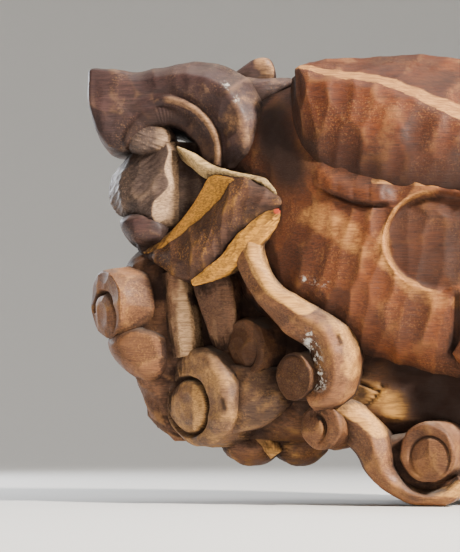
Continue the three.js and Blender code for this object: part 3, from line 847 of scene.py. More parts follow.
# the strap and lip edge carry a painted highlight with wear all over
strap, strap_masks = lit_and_worn_all_over(carved(fibres(strap, 0.25, 4.0, 1.0, 3.0), 20, 12, 0.8, 43), 1.0)
strap_masks["red"] = near_line(strap, [[97, -237, 56], [97, -230, 62]], 1, 6)
add_piece("lip_edge", [lit_and_worn_all_over(carved(lip_edge, 16, 14, 0.5, 42), 0.8)])
add_piece("lip_strap", [(strap, strap_masks)])

# %% [markdown]
# ## Scrolls
# Most locks end in a scroll: a short drum whose face carries a groove wound round a raised eye. The whole
# drum is one polar grid. A profile runs from the middle of the face out to its edge, round the edge and
# back along the side, and the groove and the eye are heights added on the face.

# %% Scroll
def scroll(
    centre, facing, radius, length, eye, start, sweep, depth=7.0, dome=2.0, rounding=3.0, width=1.7, fade=1.0,
    spacing=1.6,
):
    """A point at polar angle a and profile share s: the profile gives radius and height. The groove is a
    bell curve across a line whose distance from the eye grows with the angle wound since `start`. It is
    deepest where the wound share, to the power `fade`, is a half. `eye` is its middle, across and upward,
    and its radius."""
    rim = 0.94 * radius
    face = np.linspace(0.02, 1, int(1.4 * radius / spacing)) * (rim - rounding)
    bend = np.linspace(0, np.pi / 2, 10)[1:]
    down = np.linspace(0, 1, int(length / spacing))[1:]
    r = np.concatenate([face, rim - rounding + rounding * np.sin(bend), radius * blend(0.94, 1.06, down)])
    h = np.concatenate([0 * face, rounding * (np.cos(bend) - 1), -rounding - (length - rounding) * down])
    a = np.linspace(-0.5 * np.pi, 1.5 * np.pi, int(2 * np.pi * radius / spacing), endpoint=False)
    r, h = r[:, None], h[:, None]
    across, upward = r * np.cos(a), r * np.sin(a)
    from_eye = np.hypot(across - eye[0], upward - eye[1])
    turned = np.arctan2(upward - eye[1], across - eye[0]) - math.radians(start)
    t = np.mod(turned * np.sign(sweep), 2 * np.pi) / math.radians(abs(sweep))
    share = np.clip(t, 0, 1)
    groove = (h > -1.5 * rounding) * (t <= 1) * np.clip(np.sin(np.pi * share**fade), 0, 1) ** 0.7
    groove = groove * bell(from_eye - (eye[2] + width + 2.0 * share), width)
    raised = dome * np.clip((eye[2] - from_eye) / (0.42 * eye[2]), 0, 1) * (h > -rounding)
    out = unit(np.array(facing, dtype=float))
    level = unit(np.cross([0, 0, 1], out))
    upright = np.cross(out, level)
    grid = np.asarray(centre, dtype=float) + across[..., None] * level + upward[..., None] * upright
    grid = grid + (h + raised - depth * groove)[..., None] * out
    on_side = h < -0.7 * rounding
    chart = (np.where(on_side, radius * a, across), np.where(on_side, 3 * radius - h, upward))
    return grid, groove, chart


def cut_scroll(seed, cut_depth=1.4, shade=0.0, **form):
    """A scroll after the gouge, with cuts of one size over the face and round the side, and none in the
    groove. `shade` is painted shade over all of it, and the groove carries painted shade with grime."""
    grid, groove, chart = scroll(**form)
    depth = cut_depth * (1 - np.clip(2 * groove, 0, 1))
    finished, masks = carved(grid, 17, 22, depth, seed, chart=chart)
    return finished, {**masks, "gap_shade": groove, "shade": shade}


# %% [markdown]
# ## The locks from the mouth's corner
# One lock runs down from the corner of the mouth in a long S to its scroll. Below, the bottom lock starts
# in a small scroll and runs back to a large one.

# %% Side locks
long_lock = lock([
    [90, -262, 34, 22, 3], [92, -263, 14, 26, 7], [94, -253, -8, 26, 10], [98, -238, -27, 31, 13],
    [102, -216, -43, 37, 16], [104, -193, -60, 41, 18], [104, -186, -84, 43, 18], [102, -190, -106, 36, 15],
    [98, -208, -118, 22, 8],
], (0.94, -0.3, 0.12), (0.94, -0.3, -0.16), 34, 1.8)
long_lock, long_masks = carved(long_lock, 27, 22, 1.9, 47)
side = long_lock[..., 1:]
# painted highlights on the lit bends, with wear
upper_bend = near_line(side, [[-256, 26], [-248, 4], [-236, -12], [-214, -26]], 9, 17)
lower_bend = near_line(side, [[-192, -30], [-172, -60], [-170, -90]], 4, 16)
long_masks["worn_and_lit"] = upper_bend + 0.45 * lower_bend
long_masks["mark"] = near_line(side, [[-208, -60], [-204, -78], [-202, -92], [-199, -101]], 3, 9)
long_masks["gap_shade"] = 0.9 * near_line(side, [[-183, -58], [-180, -66]], 0.5, 3.0)
# the scroll's face carries painted shade
long_scroll = cut_scroll(48, shade=0.5, centre=(99, -224, -95), facing=(0.72, -0.69, -0.08), radius=23,
                         length=40, eye=(0, 0, 17), start=30, sweep=120, depth=1.6, dome=0.6, rounding=1.5)
add_piece("corner_lock", [(long_lock, long_masks), long_scroll])

bottom_lock = lock([
    [92, -192, -122, 24, 8], [92, -174, -133, 33, 12], [90, -158, -148, 36, 14], [90, -149, -164, 30, 14],
    [91, -142, -182, 24, 12], [93, -129, -195, 18, 10], [97, -107, -203, 14, 9], [101, -85, -201, 14, 8],
    [103, -72, -188, 12, 6],
], (0.92, -0.32, -0.1), (0.95, -0.2, -0.1), 30, 1.9)
# both scrolls' faces carry painted shade
start_scroll = cut_scroll(51, shade=0.3, centre=(99, -199, -140), facing=(0.88, -0.46, -0.08), radius=22,
                          length=40, eye=(-9, 0, 11), start=80, sweep=-150, depth=4.0, dome=1.0, rounding=2.5)
end_scroll = cut_scroll(52, shade=0.25, centre=(111, -105, -163), facing=(0.9, -0.43, -0.08), radius=28,
                        length=48, eye=(2, -4, 16), start=250, sweep=-330, depth=3.0, dome=1.5, width=1.5)
bottom_lock, bottom_masks = carved(bottom_lock, 28, 22, 1.8, 50)
side = bottom_lock[..., 1:]
# painted highlights on the lit runs, with wear
front_run = near_line(side, [[-183, -118], [-160, -128], [-146, -140]], 7, 14)
heel_run = near_line(side, [[-112, -190], [-74, -196]], 5, 11)
bottom_masks["worn_and_lit"] = 0.75 * front_run + 0.7 * heel_run
heel_outline = [[-146, -150], [-138, -184], [-118, -199], [-86, -202], [-66, -188], [-66, -150], [-100, -140]]
heel, heel_masks = cut_block(pebble(heel_outline, 68, 26, 6.0, 24, 70), 24, 18, 1.0, 53)
# painted shade on the heel
heel_masks["shade"] = 0.7
add_piece("bottom_lock", [(bottom_lock, bottom_masks), start_scroll, end_scroll, (heel, heel_masks)])

# %% [markdown]
# ## The beard in front
# Under the jaw two flat strands hang side by side, with a small scroll behind them. The great scroll stands
# below, and a stem rises between the two great scrolls and carries the front pair under the chin.

# %% Front of the beard
strand = lock([
    [40, -337, 6, 32, 9], [41, -334, -20, 32, 9], [42, -330, -46, 32, 9], [42, -326, -74, 30, 8],
], (0.86, -0.5, 0), (0.86, -0.5, 0), 26, 1.9)
back_strand = lock([
    [60, -303, 8, 38, 6], [58, -297, -18, 38, 7], [56, -291, -44, 34, 7], [52, -286, -70, 24, 5],
], (0.9, -0.4, 0), (0.9, -0.4, 0), 26, 1.9)
strand, strand_masks = carved(strand, 40, 16, 1.1, 55)
# painted highlight over the strand, more at the front
strand_masks["worn_and_lit"] = 0.3 + 0.35 * ramp(strand[..., 1], -334, -328)
back_strand, back_masks = carved(back_strand, 34, 12, 1.4, 56)
# painted shade on the back strand
back_masks["shade"] = 0.2
add_piece("jaw_strands", [(strand, strand_masks), (back_strand, back_masks)])

# the small scroll's face carries painted shade
small_scroll = cut_scroll(57, cut_depth=1.8, shade=0.6, centre=(71, -270, -67), facing=(0.72, -0.69, -0.08),
                          radius=28, length=44, eye=(-5, 0, 18), start=250, sweep=130, depth=4.0, dome=3.0)
great_centre = np.array([53, -317, -112])
great_scroll, great_masks = cut_scroll(58, cut_depth=1.5, centre=great_centre, facing=(0.72, -0.69, -0.06),
                                       radius=49, length=62, eye=(-8, -8, 24), start=175, sweep=-350,
                                       depth=15.0, dome=3.5, rounding=11.0, width=1.5, spacing=1.8)
from_eye = great_scroll - great_centre - [-6, -6, -8]
on_eye = np.linalg.norm(from_eye, axis=-1) < 25
# painted highlight on the eye's lit right side, and over the scroll with wear
great_masks["worn_and_lit"] = 0.36 + 0.5 * ramp(from_eye[..., 1], 4, 10) * on_eye
chip = near_line(great_scroll, [[81, -288, -115], [79, -286, -123]], 0.5, 4.0)
great_masks["gap_shade"] = np.maximum(great_masks["gap_shade"], 0.9 * chip)
great_lock = lock([
    [70, -222, -100, 30, 8], [72, -242, -106, 46, 12], [70, -264, -112, 60, 10], [63, -286, -114, 66, 4],
], (0.92, -0.3, -0.1), (0.82, -0.57, -0.1), 38, 2.1)
# painted highlight over the great lock
great_lock = lit_and_worn_all_over(carved(great_lock, 30, 20, 1.7, 59), 0.28)
add_piece("small_scroll", [small_scroll])
add_piece("great_scroll", [(great_scroll, great_masks), great_lock])


def stem():
    """Level rings from bottom to top: a superellipse between the front and the back line. Stations are z,
    half width, front y and back y."""
    stations = [
        [-152, 14, -338, -290],
        [-131, 24, -360, -290],
        [-108, 30, -369, -290],
        [-92, 36, -376, -290],
        [-68, 40, -386, -300],
        [-36, 40, -390, -320],
        [-4, 38, -387, -318],
        [16, 34, -384, -318],
        [30, 24, -372, -322],
    ]
    z, half, front, back = (v[:, None] for v in eased(stations, np.linspace(0, 1, 84)).T)
    a = np.linspace(0.5, 2.5, 96, endpoint=False) * np.pi
    square = 2.7
    size = (np.abs(np.cos(a)) ** square + np.abs(np.sin(a)) ** square) ** (-1 / square)
    y = (front + back) / 2 + (back - front) / 2 * np.sin(a) * size
    return np.stack(np.broadcast_arrays(half * np.cos(a) * size, y, z), axis=-1)


front_scroll = cut_scroll(60, centre=(31, -402, -24), facing=(0.53, -0.84, -0.1), radius=34, length=34,
                          eye=(-5, -10, 19), start=170, sweep=-230, rounding=2.0, width=1.8, fade=0.5)
add_piece("front_scrolls", [front_scroll])

stem_block, stem_masks = carved(stem(), 24, 18, 1.5, 61)
# painted shade on the stem's top
stem_masks["shade"] = 0.75 * ramp(stem_block[..., 2], -30, -4)
under_outline = [
    [-396, -44], [-402, -60], [-394, -77], [-380, -90], [-362, -98], [-346, -98], [-334, -84], [-334, -56],
    [-350, -42], [-376, -40],
]
under_scrolls = cut_block(pebble(under_outline, 0, 45, 3.6, 60, 130), 26, 20, 1.4, 65)
front_lump = [
    [-296, -150], [-290, -166], [-272, -176], [-252, -175], [-236, -162], [-240, -140], [-280, -130],
]
rear_lump = [
    [-250, -148], [-244, -166], [-226, -177], [-206, -174], [-190, -160], [-196, -138], [-232, -130],
]
# the lumps carry a painted highlight over all of them
lumps = [
    lit_and_worn_all_over(cut_block(pebble(outline, 0, 38, 2.6, 36, 90), 24, 18, 1.3, seed), 0.26)
    for outline, seed in ((front_lump, 62), (rear_lump, 63))
]
add_piece("stem_and_underside", [(stem_block, stem_masks), under_scrolls, *lumps], mirrored=False)
lit_step = lock([
    [34, -268, -128, 12, 3], [36, -259, -139, 19, 4], [36, -250, -151, 19, 4], [35, -240, -165, 15, 3],
], (0.9, 0.2, 0.1), (0.85, 0.1, -0.3), 20, 1.7)
# painted highlight over the lit step
add_piece("underside_step", [lit_and_worn_all_over(carved(lit_step, 18, 12, 0.8, 64), 0.9)])

# %% [markdown]
# ## The mane behind the cheek
# The back of the head is close to the post, and the photograph doesn't show it. Its mane is plainer: four
# broad locks that end in the neck, made as the beard's are.

# %% Mane
# each lock's stations, its facing at both ends and how deep its root sinks in
mane = [
    ([[112, -66, 108, 16, 6], [122, -28, 84, 34, 12], [116, 12, 62, 34, 12], [96, 42, 50, 16, 6]],
     (1, -0.2, 0.3), (0.9, 0.3, 0.2), 34),
    ([[120, -52, -4, 20, 8], [124, -22, -20, 44, 14], [114, 16, -20, 42, 13], [92, 44, -10, 18, 6]],
     (1, 0, 0), (0.9, 0.3, 0), 34),
    ([[120, -76, -66, 22, 8], [122, -42, -86, 42, 14], [112, 2, -92, 40, 13], [88, 42, -80, 18, 6]],
     (1, 0, -0.2), (0.9, 0.3, -0.1), 36),
    ([[96, -50, -128, 22, 8], [98, -20, -142, 36, 12], [90, 14, -142, 32, 11], [76, 44, -130, 16, 6]],
     (0.9, 0, -0.4), (0.8, 0.3, -0.4), 34),
]
add_piece("mane", [carved(lock(*row), 30, 20, 1.7, 70 + k) for k, row in enumerate(mane)])

# %% [markdown]
# ## Painted shade and dirt in the hollows
# Where wood stands close on several sides, the surface is painted darker: painted shade where little light
# reaches, and grime that settles there. How closed in a point is can be worked out without tracing rays: the
# surface is counted into a coarse grid of cells, the counts are blurred, and each point reads the count a
# little way out along its normal. Much wood there means a crevice.

# %% Crevices
cell = 0.004
reach = 0.009
open_count, closed_count = 0.09, 0.36  # blurred counts at which a point starts to be darkened and is wholly so


def blurred(counts, passes=2, half=2):
    """A box blur along each axis in turn, as the difference of a running sum."""
    window = 2 * half + 1
    for axis in range(3):
        margin = [(half + 1, half) if k == axis else (0, 0) for k in range(3)]
        for _ in range(passes):
            total = np.cumsum(np.pad(counts, margin), axis=axis)
            ahead = np.take(total, range(window, total.shape[axis]), axis=axis)
            behind = np.take(total, range(0, total.shape[axis] - window), axis=axis)
            counts = (ahead - behind) / window
    return counts


def read(collection, name, width):
    """One property of a whole mesh collection as rows of `width` numbers."""
    values = np.empty(len(collection) * width, dtype=np.float32)
    collection.foreach_get(name, values)
    return values.reshape(-1, width)


corner = np.array(cad_box[0]) - 0.05
cells = np.ceil((np.array(cad_box[1]) + 0.05 - corner) / cell).astype(int)
counts = np.zeros(cells)
for piece in pieces:
    middles = read(piece.data.polygons, "center", 3)
    areas = read(piece.data.polygons, "area", 1)[:, 0]
    where = ((middles - corner) / cell).astype(int)
    np.add.at(counts, tuple(where.T), areas / cell**2)
counts = blurred(counts)
for piece in pieces:
    points = read(piece.data.vertices, "co", 3)
    normals = read(piece.data.vertex_normals, "vector", 3)
    where = np.clip(((points + normals * reach - corner) / cell).astype(int), 0, cells - 1)
    # painted shade and grime where the wood is closed in
    crevice_shade = ramp(counts[tuple(where.T)], open_count, closed_count)
    mask = piece.data.attributes.new("crevice_shade", "FLOAT", "POINT")
    mask.data.foreach_set("value", crevice_shade.astype(np.float32))
print("blurred counts reach", counts.max().round(2), "in", counts.size, "cells")

# %% [markdown]
# ## Node helpers
# Each finish is a small network of shader nodes. A helper that adds a node, sets its values and links its
# inputs keeps the networks short enough to read.

# %% Node helpers
def node(tree, kind, inputs=None, **settings):
    """Adds a node, with `settings` as its properties. A value in `inputs` is a socket to link or a plain
    value."""
    made = tree.nodes.new(kind)
    for key, value in settings.items():
        setattr(made, key, value)
    for key, value in (inputs or {}).items():
        if isinstance(value, bpy.types.NodeSocket):
            tree.links.new(value, made.inputs[key])
        else:
            made.inputs[key].default_value = value
    return made


def maths(tree, operation, a, b=0.5, c=0.5, clamp=False):
    """The operation on a and b, and for MULTIPLY_ADD a times b plus c."""
    return node(tree, "ShaderNodeMath", {0: a, 1: b, 2: c}, operation=operation, use_clamp=clamp).outputs[0]


def mix(tree, factor, a, b, blend_type="MIX"):
    """Colour a at factor 0 and b at factor 1."""
    made = node(tree, "ShaderNodeMix", {0: factor, 6: a, 7: b}, data_type="RGBA", blend_type=blend_type)
    return made.outputs[2]


def span(tree, value, low, high, out_low=0.0, out_high=1.0):
    """out_low below low, out_high above high, and an S-shaped rise between them."""
    inputs = {"Value": value, "From Min": low, "From Max": high, "To Min": out_low, "To Max": out_high}
    return node(tree, "ShaderNodeMapRange", inputs, interpolation_type="SMOOTHSTEP").outputs[0]


def noise(tree, vector, scale, detail=4.0, rough=0.55):
    """Soft random values from 0 to 1, with `scale` lumps to the metre."""
    inputs = {"Vector": vector, "Scale": scale, "Detail": detail, "Roughness": rough}
    return node(tree, "ShaderNodeTexNoise", inputs).outputs["Fac"]


def stretched(tree, vector, share, place=(0.0, 0.0, 0.0)):
    """The vector with its y, the way of the grain, cut to a share: a pattern on it is drawn out along the
    grain."""
    inputs = {"Vector": vector, "Location": place, "Scale": (1.0, share, 1.0)}
    return node(tree, "ShaderNodeMapping", inputs).outputs[0]


def mask_of(tree, name):
    """One of the masks that the meshes carry."""
    return node(tree, "ShaderNodeAttribute", attribute_name=name).outputs["Fac"]


def group(name, inputs, outputs):
    """A new node group with named sockets. Returns the tree, its input node and its output node."""
    tree = bpy.data.node_groups.new(name, "ShaderNodeTree")
    for label, kind in inputs.items():
        tree.interface.new_socket(label, in_out="INPUT", socket_type=kind)
    for label, kind in outputs.items():
        tree.interface.new_socket(label, in_out="OUTPUT", socket_type=kind)
    return tree, tree.nodes.new("NodeGroupInput"), tree.nodes.new("NodeGroupOutput")


COLOR, FLOAT, VECTOR = "NodeSocketColor", "NodeSocketFloat", "NodeSocketVector"
print("the node helpers make sockets of the kinds", COLOR, FLOAT, VECTOR)

# %% [markdown]
# ## Grain
# The beam's grain runs along the head, from the post to the nose. Growth rings are nested shells round the
# tree's heart, so a carved form cuts them into contour lines. They come from the distance to a heart below
# the head, measured in a space squeezed along y and bent by a slow noise. Pores are short dark dashes along
# the grain.

# %% Grain group
ring_wave = 1150.0  # radians a metre, so a growth ring every 5.5 mm
pore_color = (0.035, 0.017, 0.010, 1.0)


def grain_group():
    """The band is the sine of the bent distance to the heart. Band, fibre and a slow cloud add up to the
    share of the dark colour, and fibre, band and pores give the height."""
    sockets = {"Vector": VECTOR, "Light": COLOR, "Dark": COLOR}
    tree, given, result = group("wood_grain", sockets, {"Color": COLOR, "Height": FLOAT})
    vector, light, dark = (given.outputs[name] for name in sockets)
    squeezed = stretched(tree, vector, 0.14)
    from_heart = stretched(tree, vector, 0.05, place=(0.06, 0.0, 0.30))
    distance = node(tree, "ShaderNodeVectorMath", {0: from_heart}, operation="LENGTH").outputs["Value"]
    rings = maths(tree, "MULTIPLY_ADD", noise(tree, squeezed, 9.0, 2.0), 0.05, distance)
    fine = noise(tree, squeezed, 420.0, 3.0)
    phase = maths(tree, "MULTIPLY_ADD", fine, 1.6, maths(tree, "MULTIPLY", rings, ring_wave))
    band = span(tree, maths(tree, "SINE", phase), -0.9, 1.0)
    fibre = noise(tree, stretched(tree, vector, 0.05), 900.0, 2.0)
    cloud = noise(tree, vector, 22.0, 5.0, 0.6)
    shade = maths(tree, "MULTIPLY_ADD", band, 0.10, span(tree, fibre, 0.3, 0.7, 0.0, 0.6))
    shade = maths(tree, "ADD", shade, span(tree, cloud, 0.3, 0.7, -0.22, 0.3), clamp=True)
    pore = span(tree, noise(tree, stretched(tree, vector, 0.09), 1500.0, 1.0), 0.62, 0.72)
    color = mix(tree, maths(tree, "MULTIPLY", pore, 0.45), mix(tree, shade, light, dark), pore_color)
    height = maths(tree, "MULTIPLY_ADD", fibre, 0.55, maths(tree, "MULTIPLY", band, 0.08))
    height = maths(tree, "MULTIPLY_ADD", pore, -0.6, height)
    tree.links.new(color, result.inputs["Color"])
    tree.links.new(height, result.inputs["Height"])
    return tree


grain = grain_group()
print("the grain group has", len(grain.nodes), "nodes")

# %% [markdown]
# ## Tool marks, wear, dirt and painted light
# Every gouge cut caught the light and the dirt a little differently, and hands and weather rubbed the
# ridges. The masks that the meshes carry say where: `tone` differs from cut to cut, `ridge` reaches 1 between
# cuts, the worn mask marks rubbed bright wood and painted highlights on lit faces, the gap, shade and crevice
# masks hold painted shade and grime, `mark` is old white paint, and `red` a dab of red.

# %% Wear group
tone_low, tone_spread = 0.66, 0.60  # a cut's tone takes the wood's colour from 0.66 to 1.26 times itself
paint_color = (0.62, 0.58, 0.52, 1.0)
red_color = (0.42, 0.05, 0.02, 1.0)


def wear_and_light_group():
    """Colours laid over the wood one by one, each where its mask and a noise agree: the cuts' tones, rubbed
    ridges, worn wood with painted highlights, specks, painted shade with grime, dust on what faces up, and
    paint. Dust, grime, painted shade and worn wood with its painted highlights are rougher."""
    sockets = {"Vector": VECTOR, "Wood": COLOR, "FreshAndLit": COLOR, "ShadeAndGrime": COLOR, "Dust": COLOR, "Dusty": FLOAT}
    tree, given, result = group("tool_marks_wear_and_painted_light", sockets, {"Color": COLOR, "Rough": FLOAT})
    vector, wood, fresh_and_lit, shade_and_grime, dust, dusty = (given.outputs[name] for name in sockets)
    mottle = noise(tree, vector, 55.0, 6.0, 0.65)

    tone = maths(tree, "MULTIPLY_ADD", mask_of(tree, "tone"), tone_spread, tone_low)
    grey = node(tree, "ShaderNodeCombineColor", {0: tone, 1: tone, 2: tone}).outputs[0]
    color = mix(tree, 1.0, wood, grey, "MULTIPLY")
    on_ridge = span(tree, mask_of(tree, "ridge"), 0.9, 1.5)
    brightened = maths(tree, "MULTIPLY", on_ridge, span(tree, mottle, 0.45, 0.62, 0.02, 0.20))
    color = mix(tree, brightened, color, fresh_and_lit)

    # rubbed bright wood and painted highlights on faces turned to the light, both in the fresh colour
    streak = span(tree, noise(tree, stretched(tree, vector, 0.07), 620.0, 4.0, 0.65), 0.38, 0.62, 0.0, 0.6)
    ragged = maths(tree, "MULTIPLY_ADD", mottle, 0.9, maths(tree, "SUBTRACT", mask_of(tree, "worn_and_lit"), 0.45))
    worn_and_lit = span(tree, ragged, 0.22, 0.62)
    color = mix(tree, worn_and_lit, color, mix(tree, streak, fresh_and_lit, wood))
    speck = span(tree, noise(tree, vector, 520.0, 3.0, 0.7), 0.50, 0.66, 0.0, 0.26)
    speck = maths(tree, "MULTIPLY", speck, span(tree, noise(tree, vector, 26.0, 3.0, 0.6), 0.42, 0.62))
    color = mix(tree, speck, color, fresh_and_lit)

    # painted shade with grime: in crevices, grooves and cracks, and over the shaded places
    shade_and_dirt = maths(tree, "MULTIPLY", mask_of(tree, "crevice_shade"), span(tree, mottle, 0.3, 0.6, 0.65, 1.0))
    shade_and_dirt = maths(tree, "MAXIMUM", shade_and_dirt, mask_of(tree, "gap_shade"))
    shade_and_dirt = maths(tree, "MAXIMUM", shade_and_dirt, mask_of(tree, "shade"))
    color = mix(tree, shade_and_dirt, color, shade_and_grime)
    normal = node(tree, "ShaderNodeNewGeometry").outputs["Normal"]
    upward = span(tree, node(tree, "ShaderNodeSeparateXYZ", {0: normal}).outputs[2], 0.25, 0.95)
    settled = maths(tree, "MULTIPLY", upward, span(tree, mottle, 0.38, 0.66, 0.25, 0.9))
    settled = maths(tree, "MULTIPLY", settled, dusty)
    color = mix(tree, settled, color, dust)

    flakes = span(tree, noise(tree, vector, 140.0, 6.0, 0.7), 0.5, 0.58)
    color = mix(tree, maths(tree, "MULTIPLY", mask_of(tree, "mark"), flakes), color, paint_color)
    color = mix(tree, span(tree, mask_of(tree, "red"), 0.2, 0.8, 0.0, 0.8), color, red_color)
    rough = maths(tree, "MULTIPLY_ADD", settled, 0.25, span(tree, mottle, 0.3, 0.7, 0.44, 0.68))
    rough = maths(tree, "MULTIPLY_ADD", shade_and_dirt, 0.3, rough)
    rough = maths(tree, "MULTIPLY_ADD", worn_and_lit, 0.08, rough)
    tree.links.new(color, result.inputs["Color"])
    tree.links.new(rough, result.inputs["Rough"])
    return tree


wear_and_light = wear_and_light_group()
print("the wear group has", len(wear_and_light.nodes), "nodes")

# %% [markdown]
# ## One timber, several tones
# It is all one wood, but the parts of the head differ, partly by weathering and partly as painted light: the
# brow is dark and red, the snout greyer and darker as painted shade, the beard and its strands paler as
# painted light. One function makes each finish from the same two groups with its own colours.

# %% Finishes
# the colour of painted shade and of grime
shade_and_grime_color = (0.016, 0.006, 0.003, 1)
dust_color = (0.34, 0.28, 0.23, 1)
grain_strength, grain_depth = 0.6, 0.0006  # of the bump, the depth in metres
dry_gloss = 0.3
# the wood's light and dark colour, its colour where rubbed fresh and where highlights are painted, and how
# dusty it is on top
finishes = {
    "red_brow_wood": ((0.108, 0.026, 0.006), (0.030, 0.007, 0.003), (0.44, 0.20, 0.060), 0.05),
    "cheek_wood": ((0.150, 0.041, 0.010), (0.040, 0.010, 0.004), (0.44, 0.195, 0.052), 0.05),
    "snout_wood": ((0.066, 0.031, 0.027), (0.018, 0.009, 0.009), (0.42, 0.22, 0.095), 0.14),
    "teeth_wood": ((0.120, 0.076, 0.058), (0.034, 0.021, 0.017), (0.50, 0.31, 0.17), 0.10),
    "lip_wood": ((0.115, 0.050, 0.028), (0.030, 0.012, 0.008), (0.76, 0.34, 0.042), 0.05),
    "lip_edge_wood": ((0.150, 0.075, 0.036), (0.040, 0.018, 0.010), (0.72, 0.48, 0.20), 0.05),
    "beard_wood": ((0.225, 0.092, 0.036), (0.062, 0.023, 0.011), (0.62, 0.31, 0.080), 0.26),
    "great_scroll_wood": ((0.185, 0.094, 0.050), (0.050, 0.024, 0.015), (0.62, 0.32, 0.10), 0.34),
    "strand_wood": ((0.240, 0.112, 0.055), (0.070, 0.030, 0.016), (0.66, 0.40, 0.20), 0.26),
    "neck_wood": ((0.150, 0.056, 0.014), (0.040, 0.014, 0.005), (0.50, 0.245, 0.050), 0.05),
}


def carved_wood(name, light, dark, fresh_and_lit, dusty):
    material = bpy.data.materials.new(name)
    material.use_nodes = True
    tree = material.node_tree
    shader = tree.nodes["Principled BSDF"]
    vector = node(tree, "ShaderNodeTexCoord").outputs["Object"]
    wood = node(tree, "ShaderNodeGroup", node_tree=grain)
    marks = node(tree, "ShaderNodeGroup", node_tree=wear_and_light)
    tree.links.new(vector, wood.inputs["Vector"])
    tree.links.new(vector, marks.inputs["Vector"])
    tree.links.new(wood.outputs["Color"], marks.inputs["Wood"])
    wood.inputs["Light"].default_value = (*light, 1)
    wood.inputs["Dark"].default_value = (*dark, 1)
    marks.inputs["FreshAndLit"].default_value = (*fresh_and_lit, 1)
    marks.inputs["ShadeAndGrime"].default_value = shade_and_grime_color
    marks.inputs["Dust"].default_value = dust_color
    marks.inputs["Dusty"].default_value = dusty
    tree.links.new(marks.outputs["Color"], shader.inputs["Base Color"])
    tree.links.new(marks.outputs["Rough"], shader.inputs["Roughness"])
    bump = {"Strength": grain_strength, "Distance": grain_depth, "Height": wood.outputs["Height"]}
    normal = node(tree, "ShaderNodeBump", bump).outputs["Normal"]
    tree.links.new(normal, shader.inputs["Normal"])
    shader.inputs["Specular IOR Level"].default_value = dry_gloss
    return material


woods = {name: carved_wood(name, *values) for name, values in finishes.items()}
finish_of = {
    "brows": "red_brow_wood",
    "cheeks_and_skull": "cheek_wood",
    "mane": "cheek_wood",
    "throat": "neck_wood",
    "neck": "neck_wood",
    "snout": "snout_wood",
    "upper_lip": "teeth_wood",
    "bridge_tuft_and_chin": "snout_wood",
    "teeth": "teeth_wood",
    "lower_lip": "lip_wood",
    "lip_edge": "lip_edge_wood",
    "lip_strap": "lip_wood",
    "great_scroll": "great_scroll_wood",
    "jaw_strands": "strand_wood",
}
for piece in pieces:
    piece.data.materials.append(woods[finish_of.get(piece.name, "beard_wood")])
print(len(pieces), "pieces finished,", sum(triangles.values()), "triangles in all")

# %% [markdown]
# ## Floor, light and camera
# The head stands on a plain pale floor that bends up all round into a wall. The camera stands where the
# photograph was taken from: at the animal's left side, a little behind square, and a little below, looking
# up by five degrees. A small warm lamp stands high behind the head on the camera's side, so its light rakes
# over the gouge cuts. A cool one picks out the front from the far side, a wide one overhead keeps the
# shadows soft, and a faint one by the camera fills in.

# %% Floor and backdrop
floor_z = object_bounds()[0][2] - 0.0005


def sweep():
    """A level disc that bends up all round into a wall: a profile of radius and height, turned about the
    upright axis."""
    level, bend, wall = 3.0, 3.0, 8.0
    rise = np.linspace(0, np.pi / 2, 24)
    radius = np.concatenate([[0.02], level + bend * np.sin(rise), [level + bend]])
    height = np.concatenate([[0.0], bend * (1 - np.cos(rise)), [wall]]) + floor_z
    turn = np.linspace(0, 2 * np.pi, 96, endpoint=False)
    points = np.stack([np.outer(radius, np.cos(turn)), np.outer(radius, np.sin(turn)),
                       np.repeat(height[:, None], len(turn), axis=1)], axis=-1)
    index = np.arange(points.size // 3).reshape(points.shape[:2])
    ahead = np.roll(index, -1, axis=1)
    faces = np.stack([index[:-1], index[1:], ahead[1:], ahead[:-1]], axis=-1).reshape(-1, 4).tolist()
    faces.append(index[0].tolist())
    mesh = bpy.data.meshes.new("floor_sweep")
    mesh.from_pydata(points.reshape(-1, 3).tolist(), [], faces)
    mesh.shade_smooth()
    return bpy.data.objects.new("floor_sweep", mesh)


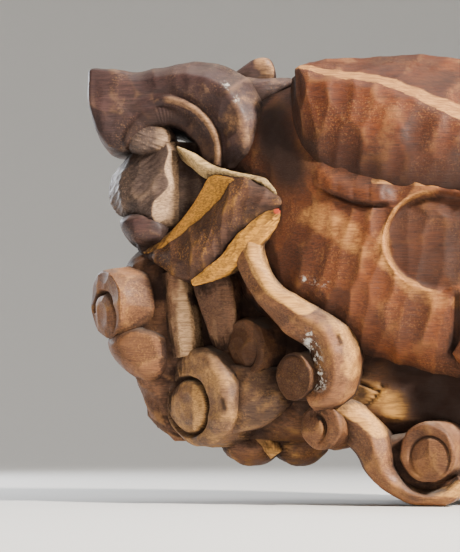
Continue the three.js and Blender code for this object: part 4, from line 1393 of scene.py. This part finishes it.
floor = sweep()
bpy.context.scene.collection.objects.link(floor)
pale = bpy.data.materials.new("pale_floor")
pale.use_nodes = True
pale.node_tree.nodes["Principled BSDF"].inputs["Base Color"].default_value = (0.62, 0.61, 0.59, 1)
pale.node_tree.nodes["Principled BSDF"].inputs["Roughness"].default_value = 0.9
floor.data.materials.append(pale)
print("the floor lies", round(1000 * (cad_box[0][2] - floor_z), 1), "mm below the CAD model's lowest point")

# %% Lights
def area_light(name, place, target, width, power, color):
    light = bpy.data.lights.new(name, "AREA")
    light.shape = "DISK"
    light.size = width
    light.energy = power
    light.color = color
    made = bpy.data.objects.new(name, light)
    made.location = place
    made.rotation_euler = (Vector(target) - Vector(place)).to_track_quat("-Z", "Y").to_euler()
    bpy.context.scene.collection.objects.link(made)


head_middle = (0.0, -0.24, 0.0)
area_light("key_above_right", (1.0, 1.0, 1.05), head_middle, 0.22, 150, (1.0, 0.93, 0.84))
area_light("rim_front_left", (-1.1, -1.5, 0.6), head_middle, 0.7, 36, (0.88, 0.93, 1.0))
area_light("fill_by_camera", (2.2, -0.9, 0.9), head_middle, 1.2, 3, (1.0, 0.95, 0.90))
area_light("overhead", (0.0, -0.2, 5.0), (0.0, -0.2, 0.0), 4.0, 190, (1.0, 1.0, 1.0))
world = bpy.data.worlds.new("soft_room")
bpy.context.scene.world = world
world.use_nodes = True
world.node_tree.nodes["Background"].inputs["Color"].default_value = (0.80, 0.82, 0.86, 1)
world.node_tree.nodes["Background"].inputs["Strength"].default_value = 0.05
print("lights:", [light.name for light in bpy.data.lights])

# %% Camera
picture_height = 552  # pixels, the long side
focal_pixels = 1894.7
sensor = 36.0
camera_data = bpy.data.cameras.new("camera")
camera_data.sensor_width = sensor
camera_data.lens = sensor * focal_pixels / picture_height
camera = bpy.data.objects.new("camera", camera_data)
camera_place = Vector((1.8089, -0.2477, -0.1531))
camera_target = Vector((0.01823, -0.34151, 0.00379))
camera.location = camera_place
camera.rotation_euler = (camera_target - camera_place).to_track_quat("-Z", "Y").to_euler()
bpy.context.scene.collection.objects.link(camera)
bpy.context.scene.camera = camera
print("the camera stands", round((camera_target - camera_place).length, 2), "m from what it looks at")
